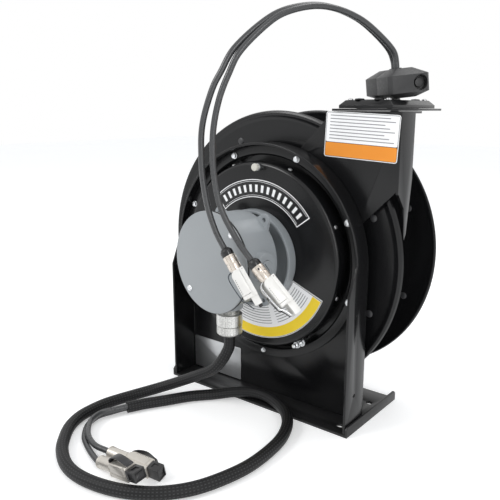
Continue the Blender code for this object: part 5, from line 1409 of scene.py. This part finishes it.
def make_capped_gland(name, place, cap_end, gland_end):
    """A panelled gland in two rows behind the shell, under a black domed cap."""
    wide = plug_barrel
    neck = wide - 0.0006
    middle = (cap_end + gland_end) / 2.0
    panels = 10
    profile = [(0.0, cap_end), (neck, cap_end), (neck, gland_end + 0.0006), (0.0, gland_end + 0.0006)]
    bm = bmesh.new()
    add_revolve(bm, profile, 40, place)
    barrel = new_piece(name + "_gland", bm, [gland_nickel], 30.0)
    panel = bmesh.new()
    length = (gland_end - cap_end) / 2.0 - 0.0012
    width = 2.0 * math.pi * wide / panels - 0.0007
    add_box(panel, (-width / 2.0, -length / 2.0, -0.0009), (width / 2.0, length / 2.0, 0.0))
    shape = new_piece(name + "_panel", panel, [])
    round_edges(shape, 0.0003, 2)
    covers = bmesh.new()
    for along in ((cap_end + middle) / 2.0, (middle + gland_end) / 2.0):
        for number in range(panels):
            turn = 2.0 * math.pi * (number + 0.5) / panels
            copy = shape.data.copy()
            copy.transform(barrel_place(place, along, turn, wide))
            covers.from_mesh(copy)
            bpy.data.meshes.remove(copy)
    hide_shape(shape)
    panels_piece = new_piece(name + "_gland_panels", covers, [gland_nickel], 30.0)
    cap = ((0.0, 0.0), (0.0037, 0.0), (0.0050, 0.0008), (wide - 0.0001, 0.0036), (wide, 0.0050),
           (wide, cap_end - gap / 3.0), (0.0, cap_end - gap / 3.0))
    bm = bmesh.new()
    add_revolve(bm, filleted(cap, 0.0008, 4), 40, place)
    dome = new_piece(name + "_cap", bm, [cap_black])
    mark = bmesh.new()
    turn = math.radians(18.0 + 36.0 * window_panel[name])
    window = barrel_place(place, (cap_end + middle) / 2.0, turn, wide)
    add_box(mark, (-0.0011, -0.0011, -0.0005), (0.0011, 0.0011, 0.00012), window)
    pieces = [dress(barrel, "frame", "nickel"), dress(panels_piece, "frame", "nickel"),
              dress(dome, "frame", "black_plastic")]
    pieces.append(dress(new_piece(name + "_window", mark, [plug_black]), "frame", "black_plastic"))
    return pieces


def make_plain_gland(name, place, gland_end, finish):
    """A round gland with one groove near the cable."""
    wide = plug_barrel
    profile = ((0.0, 0.0), (wide - 0.0012, 0.0), (wide, 0.0012), (wide, 0.0024), (wide - 0.0004, 0.0027),
               (wide - 0.0004, 0.0036), (wide, 0.0039), (wide, 0.0050), (wide - 0.0003, 0.0053),
               (wide - 0.0003, gland_end + 0.0006), (0.0, gland_end + 0.0006))
    bm = bmesh.new()
    add_revolve(bm, profile, 56, place)
    return dress(new_piece(name + "_gland", bm, [finish], 30.0), "frame", "nickel")


def make_plug_nose(name, place, shell_end, nose_end, is_output):
    """The front of the plug: a bright collar with a dark insert, or a black moulded block."""
    width, height, drop = (0.0117, 0.0086, 0.0035) if is_output else (0.0140, 0.0115, 0.0)
    low = -height / 2.0 - drop
    half = width / 2.0
    finish = nickel if is_output else plug_black
    tip = nose_end - (0.0040 if name == "output_plug_a" else 0.0)
    bm = bmesh.new()
    add_box(bm, (-half, shell_end - 0.0005, low), (half, tip, low + height), place)
    nose = new_piece(name + "_nose", bm, [finish])
    round_edges(nose, 0.0006, 3)
    hollow = bmesh.new()
    wall = 0.0009 if is_output else 0.0016
    add_box(hollow, (-half + wall, tip - 0.0070, low + wall),
            (half - wall, tip + 0.002, low + height - wall), place)
    if not is_output:
        for side in (-1, 1):
            add_box(hollow, (side * half - 0.0008, shell_end + 0.0035, low + 0.0030),
                    (side * half + 0.0008, shell_end + 0.0100, low + height - 0.0030), place)
        add_box(hollow, (-half + 0.0035, shell_end + 0.0050, low + height - 0.0010),
                (half - 0.0035, nose_end - 0.0020, low + height + 0.001), place)
    combine(nose, hollow, "DIFFERENCE")
    nose.data.shade_smooth()
    nose.data.set_sharp_from_angle(angle=math.radians(32.0))
    pieces = [dress(nose, "frame", "nickel" if is_output else "black_plastic")]
    insert = bmesh.new()
    inner = half - wall - 0.0002
    reach = nose_end - 0.0006
    top = low + height - wall - (0.0024 if is_output else 0.0004)
    add_box(insert, (-inner, shell_end + 0.004, low + wall + 0.0002), (inner, reach, top), place)
    tongue = new_piece(name + "_insert", insert, [plug_black])
    slits = bmesh.new()
    for number in range(8):
        across = -inner + 0.0011 + number * (2.0 * inner - 0.0022) / 7.0
        add_box(slits, (across - 0.0002, reach - 0.0035, top - 0.0006),
                (across + 0.0002, reach + 0.001, top + 0.0004),
                place)
    combine(tongue, slits, "DIFFERENCE")
    pieces.append(dress(tongue, "frame", "black_plastic"))
    return pieces


def make_plug_lever(name, place, gland_end, is_output):
    """The sprung latch strip, smoothly bent and rounded along its edges."""
    line = output_lever_line if is_output else input_lever_line
    base = Vector((0.0, gland_end, plug_shell_height / 2.0))
    points = [base + Vector((0.0, along, up)) for along, up in line]
    smooth = smooth_line((points[0], points[0].lerp(points[1], 0.4)), points[1:-1],
                         (points[-1], points[-1].lerp(points[-2], 0.4)), 0.0006)
    half_thick = lever_thickness / 2.0
    above = []
    below = []
    for index, point in enumerate(smooth):
        along = smooth[min(index + 1, len(smooth) - 1)] - smooth[max(index - 1, 0)]
        across = Vector((0.0, -along.z, along.y)).normalized() * half_thick
        above.append((point.y + across.y, point.z + across.z))
        below.append((point.y - across.y, point.z - across.z))
    bm = bmesh.new()
    half = lever_width / 2.0
    add_prism(bm, below + list(reversed(above)), -half, half, "X", place)
    finish = lever_finishes[name]
    lever = new_piece(name + "_lever_strip", bm, [finish])
    round_edges(lever, 0.0003, 2, 50.0)
    body = name.replace("_plug_", "_lever_")
    dress(lever, body, "black_plastic", name + "_lever")


def make_plugs():
    pieces = {}
    for name in plug_places:
        pieces[name] = make_plug(name, name.startswith("output"))
    return pieces


# Labels: blank printed vinyl with plain bands, rules and borders
def sector_outline(inner, outer, start, end, steps=40):
    """A part of a ring on the spring cover, angles in degrees from +X towards +Z."""
    points = arc_points((0.0, axis_height), outer, start, end, steps)
    points += arc_points((0.0, axis_height), inner, end, start, steps)
    return points


def make_label(name, layers, materials, face_y):
    """Stack thin printed layers; each layer is an outline, its level and the number of its material."""
    bm = bmesh.new()
    for outline, level, number in layers:
        front = face_y - 0.00012 - level * 0.00003
        for face in add_prism(bm, outline, front, face_y - 0.00002):
            face.material_index = number
    label = new_piece(name, bm, materials)
    dress(label, "frame", "black_coat")


def make_labels():
    face = cover_front_y
    layers = [(sector_outline(0.0740, 0.0960, 35.7, 133.0), 0, 0),
              (sector_outline(0.0750, 0.0950, 36.5, 132.2), 1, 1),
              (sector_outline(0.0764, 0.0768, 38.0, 130.8), 2, 0),
              (sector_outline(0.0932, 0.0936, 38.0, 130.8), 2, 0)]
    for number in range(15):
        start = 41.0 + number * 6.0
        layers.append((sector_outline(0.0805, 0.0895, start, start + 2.6, 6), 2, 0))
    make_label("cover_banner", layers, [label_white, label_black], face)
    layers = [(sector_outline(0.0600, 0.1060, -118.0, -22.0), 0, 0),
              (sector_outline(0.0606, 0.1054, -117.4, -22.6), 1, 1),
              (sector_outline(0.0612, 0.1048, -116.8, -23.2), 2, 0),
              (sector_outline(0.0920, 0.1044, -116.4, -23.6), 3, 2)]
    for ring in range(7):
        radius = 0.0660 + ring * 0.0034
        for start, end in ((-113.0, -73.0), (-67.0, -27.0)):
            layers.append((sector_outline(radius, radius + 0.0009, start, end, 24), 3, 3))
    make_label("cover_care_label", layers, [label_white, label_black, label_yellow, label_grey], face)
    make_arm_label()


def rounded_box(left, right, low, high, radius, steps=8):
    return (arc_points((right - radius, low + radius), radius, -90.0, 0.0, steps)
            + arc_points((right - radius, high - radius), radius, 0.0, 90.0, steps)
            + arc_points((left + radius, high - radius), radius, 90.0, 180.0, steps)
            + arc_points((left + radius, low + radius), radius, 180.0, 270.0, steps))


def make_arm_label():
    """The label on the arm's plate, stuck on a little askew."""
    width, height = 0.0925, 0.0515
    middle = Vector((0.1228, 0.3458))
    askew = Matrix.Rotation(math.radians(-2.8), 2)
    half_x = width / 2.0
    half_z = height / 2.0
    split = -half_z + 0.0170

    def panel(left, right, low, high, radius, steps=8):
        return [tuple(middle + askew @ Vector(point))
                for point in rounded_box(left, right, low, high, radius, steps)]

    layers = [(panel(-half_x, half_x, -half_z, half_z, 0.003), 0, 0),
              (panel(-half_x + 0.0008, half_x - 0.0008, -half_z + 0.0008, half_z - 0.0008, 0.0024), 1, 1),
              (panel(-half_x + 0.0013, half_x - 0.0013, split + 0.0003, half_z - 0.0013, 0.0018), 2, 0),
              (panel(-half_x + 0.0013, half_x - 0.0013, -half_z + 0.0013, split - 0.0003, 0.0018), 2, 2)]
    for line in range(8):
        level = split + 0.0038 + line * 0.0037
        right = half_x - 0.0055 - 0.006 * (line % 3)
        layers.append((panel(-half_x + 0.0055, right, level, level + 0.0010, 0.0004, 2), 3, 3))
    make_label("arm_label", layers, [label_white, label_black, label_orange, label_grey], web_back_y + gap)


make_frame()
make_clamp_ring()
make_spring_cover()
make_cover_fasteners()
make_nameplate()
make_junction_box()
make_slip_ring()
make_guide()
make_ball_stop()
make_discs()
make_winding()
make_feed_run()
plug_pieces = make_plugs()
make_labels()
give_finish(steel, "front_bearing", "rear_bearing", "spindle", "spring_arbor", "ratchet_wheel", "pawl")
give_finish(spring_steel, "power_spring")
give_finish(brass, "slip_ring_rotor")
give_finish(insulator, "brush_block")


# Floor, light and background. The floor's glow is only for the camera's and reflected rays.
floor_glow = 0.34
soft_light = 0.74


def background_rays(tree):
    """One for rays from the camera, off a gloss or through glass, and nought for the rest."""
    rays = tree.nodes.new("ShaderNodeLightPath")
    first = tree.nodes.new("ShaderNodeMath")
    first.operation = "MAXIMUM"
    second = tree.nodes.new("ShaderNodeMath")
    second.operation = "MAXIMUM"
    tree.links.new(rays.outputs["Is Camera Ray"], first.inputs[0])
    tree.links.new(rays.outputs["Is Glossy Ray"], first.inputs[1])
    tree.links.new(first.outputs["Value"], second.inputs[0])
    tree.links.new(rays.outputs["Is Transmission Ray"], second.inputs[1])
    return second.outputs["Value"]


def make_stage():
    mesh = bpy.data.meshes.new("studio_floor")
    reach = 6.0
    mesh.from_pydata([(-reach, -reach, 0.0), (reach, -reach, 0.0), (reach, reach, 0.0),
                      (-reach, reach, 0.0)], [],
                     [(0, 1, 2, 3)])
    floor = bpy.data.objects.new("studio_floor", mesh)
    bpy.context.scene.collection.objects.link(floor)
    material, tree, shader = start_material("pale_floor")
    tone = two_tone(tree, object_noise(tree, 2.0), (0.86, 0.86, 0.86), (0.89, 0.89, 0.89))
    tree.links.new(tone, shader.inputs["Base Color"])
    shader.inputs["Roughness"].default_value = 0.9
    shader.inputs["Specular IOR Level"].default_value = 0.1
    glow = tree.nodes.new("ShaderNodeEmission")
    both = tree.nodes.new("ShaderNodeAddShader")
    seen = tree.nodes.new("ShaderNodeMath")
    seen.operation = "MULTIPLY"
    seen.inputs[1].default_value = floor_glow
    tree.links.new(background_rays(tree), seen.inputs[0])
    tree.links.new(seen.outputs["Value"], glow.inputs["Strength"])
    tree.links.new(shader.outputs["BSDF"], both.inputs[0])
    tree.links.new(glow.outputs["Emission"], both.inputs[1])
    tree.links.new(both.outputs["Shader"], tree.nodes["Material Output"].inputs["Surface"])
    mesh.materials.append(material)


def make_world():
    """White where the camera and reflections look, and an even soft light elsewhere."""
    world = bpy.data.worlds.new("studio_light")
    bpy.context.scene.world = world
    world.use_nodes = True
    tree = world.node_tree
    tree.nodes.clear()
    output = tree.nodes.new("ShaderNodeOutputWorld")
    seen = tree.nodes.new("ShaderNodeBackground")
    light = tree.nodes.new("ShaderNodeBackground")
    seen.inputs["Color"].default_value = (1.0, 1.0, 1.0, 1.0)
    seen.inputs["Strength"].default_value = 1.0
    light.inputs["Color"].default_value = (0.96, 0.98, 1.0, 1.0)
    light.inputs["Strength"].default_value = soft_light
    mix = tree.nodes.new("ShaderNodeMixShader")
    link = tree.links.new
    link(background_rays(tree), mix.inputs["Fac"])
    link(light.outputs["Background"], mix.inputs[1])
    link(seen.outputs["Background"], mix.inputs[2])
    link(mix.outputs["Shader"], output.inputs["Surface"])


def make_lamp(name, place, target, width, height, power):
    lamp = bpy.data.lights.new(name, "AREA")
    lamp.shape = "RECTANGLE"
    lamp.size = width
    lamp.size_y = height
    lamp.energy = power
    thing = bpy.data.objects.new(name, lamp)
    bpy.context.scene.collection.objects.link(thing)
    thing.location = place
    thing.rotation_euler = (Vector(target) - Vector(place)).to_track_quat("-Z", "Y").to_euler()


make_stage()
make_world()
make_lamp("key_lamp", (-0.9, -1.5, 1.5), (0.0, 0.0, 0.2), 0.7, 0.7, 15.0)
make_lamp("side_strip", (1.6, -0.9, 0.9), (0.0, 0.0, 0.2), 0.25, 1.5, 9.0)
make_lamp("top_lamp", (0.3, 0.6, 1.9), (0.0, 0.0, 0.2), 0.8, 0.8, 8.0)

bpy.context.scene.view_settings.view_transform = "Standard"
